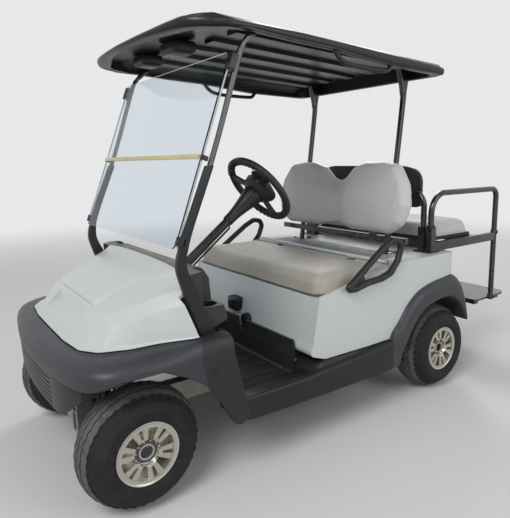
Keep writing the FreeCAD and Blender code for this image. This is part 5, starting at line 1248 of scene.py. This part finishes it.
MAT_GREY = finish("deck_mat_grey", (0.26, 0.265, 0.27), 0.6, (260.0, 0.0012), tone=(0.20, 0.205, 0.21),
                  mottle=(0.7, 8.0), leather=True)
REFLECT_WHITE = finish("reflector_white", (0.70, 0.70, 0.70), 0.25, (600.0, 0.0002), mottle=(0.5, 40.0),
                       coat=(0.5, 0.1))
REFLECT_RED = finish("reflector_red", (0.45, 0.02, 0.02), 0.25, (600.0, 0.0002), mottle=(0.5, 40.0),
                     coat=(0.5, 0.1))

SPECIAL = {"cushion_base": "hinge_board", "dashboard": "dash"}
SLOT = {s["node"]: s["material_slot"] for s in frame["record"]["subparts"]}
for name, node in nodes.items():
    node.data.materials.clear()
    node.data.materials.append(MATERIALS[SPECIAL.get(name, SLOT[name])])


# Floor, light and camera

FLOOR = (0.70, 0.70, 0.69)
BACKDROP = (0.80, 0.81, 0.82)
SKY_LEVEL = 0.50
IMAGE = (510, 518)
SENSOR = 36.0
FOCAL_PX = 494.35
CENTRE_PX = (273.41, 239.37)
CAMERA_PLACE = (1.7277, 2.0866, 1.2442)
# yaw, pitch and roll in degrees
CAMERA_TURN = (-126.97, -8.919, -0.733)


def make_floor():
    """A round floor that fades into the backdrop far from the cart."""
    bm = bmesh.new()
    bmesh.ops.create_circle(bm, cap_ends=True, radius=40.0, segments=96)
    mesh = bpy.data.meshes.new("floor")
    bm.to_mesh(mesh)
    bm.free()
    floor = bpy.data.objects.new("floor", mesh)
    bpy.context.scene.collection.objects.link(floor)
    mat, n, shader = blank_material("floor")
    n.wire(shader, {"Base Color": FLOOR, "Roughness": 0.9, "Specular IOR Level": 0.2})
    glow = n.add("ShaderNodeEmission", {"Color": BACKDROP, "Strength": 1.0})
    place = n.add("ShaderNodeTexCoord").outputs["Object"]
    far = n.add("ShaderNodeVectorMath", {0: place}, operation="LENGTH").outputs["Value"]
    joined = n.add("ShaderNodeMixShader", {0: n.ramp(far, 3.2, 9.0), 1: shader.outputs[0], 2: glow.outputs[0]})
    n.wire(n.tree.nodes["Material Output"], {"Surface": joined.outputs[0]})
    floor.data.materials.append(mat)


def make_world():
    """An even sky, shown as the backdrop to the camera and in glass and gloss."""
    world = bpy.data.worlds.new("studio")
    bpy.context.scene.world = world
    world.use_nodes = True
    n = Nodes(world.node_tree)
    path = n.add("ShaderNodeLightPath")
    seen = n.math("MAXIMUM", path.outputs["Is Camera Ray"], path.outputs["Is Transmission Ray"])
    seen = n.math("MAXIMUM", seen, path.outputs["Is Glossy Ray"])
    n.wire(n.tree.nodes["Background"], {"Color": BACKDROP, "Strength": n.ramp(seen, 0.0, 1.0, SKY_LEVEL, 1.0)})


def area_light(name, place, target, size, power):
    data = bpy.data.lights.new(name, "AREA")
    data.shape = "DISK"
    data.size = size
    data.energy = power
    light = bpy.data.objects.new(name, data)
    light.location = place
    light.rotation_mode = "QUATERNION"
    light.rotation_quaternion = (Vector(target) - Vector(place)).to_track_quat("-Z", "Y")
    bpy.context.scene.collection.objects.link(light)


def make_camera():
    """The camera that the photograph was taken with, as solved from the object's known sizes."""
    yaw, pitch, roll = (math.radians(a) for a in CAMERA_TURN)
    ahead = Vector((math.cos(pitch) * math.cos(yaw), math.cos(pitch) * math.sin(yaw), math.sin(pitch)))
    right = ahead.cross(Vector((0, 0, 1))).normalized()
    up = right.cross(ahead)
    side = math.cos(roll) * right + math.sin(roll) * up
    top = -math.sin(roll) * right + math.cos(roll) * up
    data = bpy.data.cameras.new("camera")
    cam = bpy.data.objects.new("camera", data)
    bpy.context.scene.collection.objects.link(cam)
    cam.matrix_world = Matrix((side, top, -ahead)).transposed().to_4x4()
    cam.location = CAMERA_PLACE
    data.sensor_width = SENSOR
    data.lens = FOCAL_PX * SENSOR / IMAGE[1]
    data.shift_x = (IMAGE[0] / 2 - CENTRE_PX[0]) / IMAGE[1]
    data.shift_y = (CENTRE_PX[1] - IMAGE[1] / 2) / IMAGE[1]
    bpy.context.scene.camera = cam


for joint in ("front_left", "front_right", "rear_left", "rear_right"):
    outward = 1 if joint.endswith("left") else -1
    make_tyre("tyre_%s_tread" % joint, "spin_" + joint, outward)
    make_cover_trim("cover_trim_" + joint, "spin_" + joint, outward, joint.startswith("front"))
for make in (make_nose_band, make_bumper, make_struts, make_posts, make_column, make_wheel_boss, make_handholds,
             make_deck, make_reflectors, make_collars, make_clips, make_roof_rim, make_selector, make_flares,
             make_rockers, make_armrests, make_roof_pods, make_bench, make_backrest, make_rear_cushion,
             make_rear_pad, make_floor, make_world):
    make()
area_light("key", (4.2, 2.4, 4.6), (0.2, 0.0, 0.7), 3.0, 185)
area_light("fill", (-1.5, 5.0, 2.6), (0.0, 0.0, 0.7), 3.5, 70)
area_light("rim", (-4.0, -3.5, 4.2), (0.0, 0.0, 0.9), 2.5, 120)
make_camera()

scene = bpy.context.scene
scene.view_settings.view_transform = "Standard"
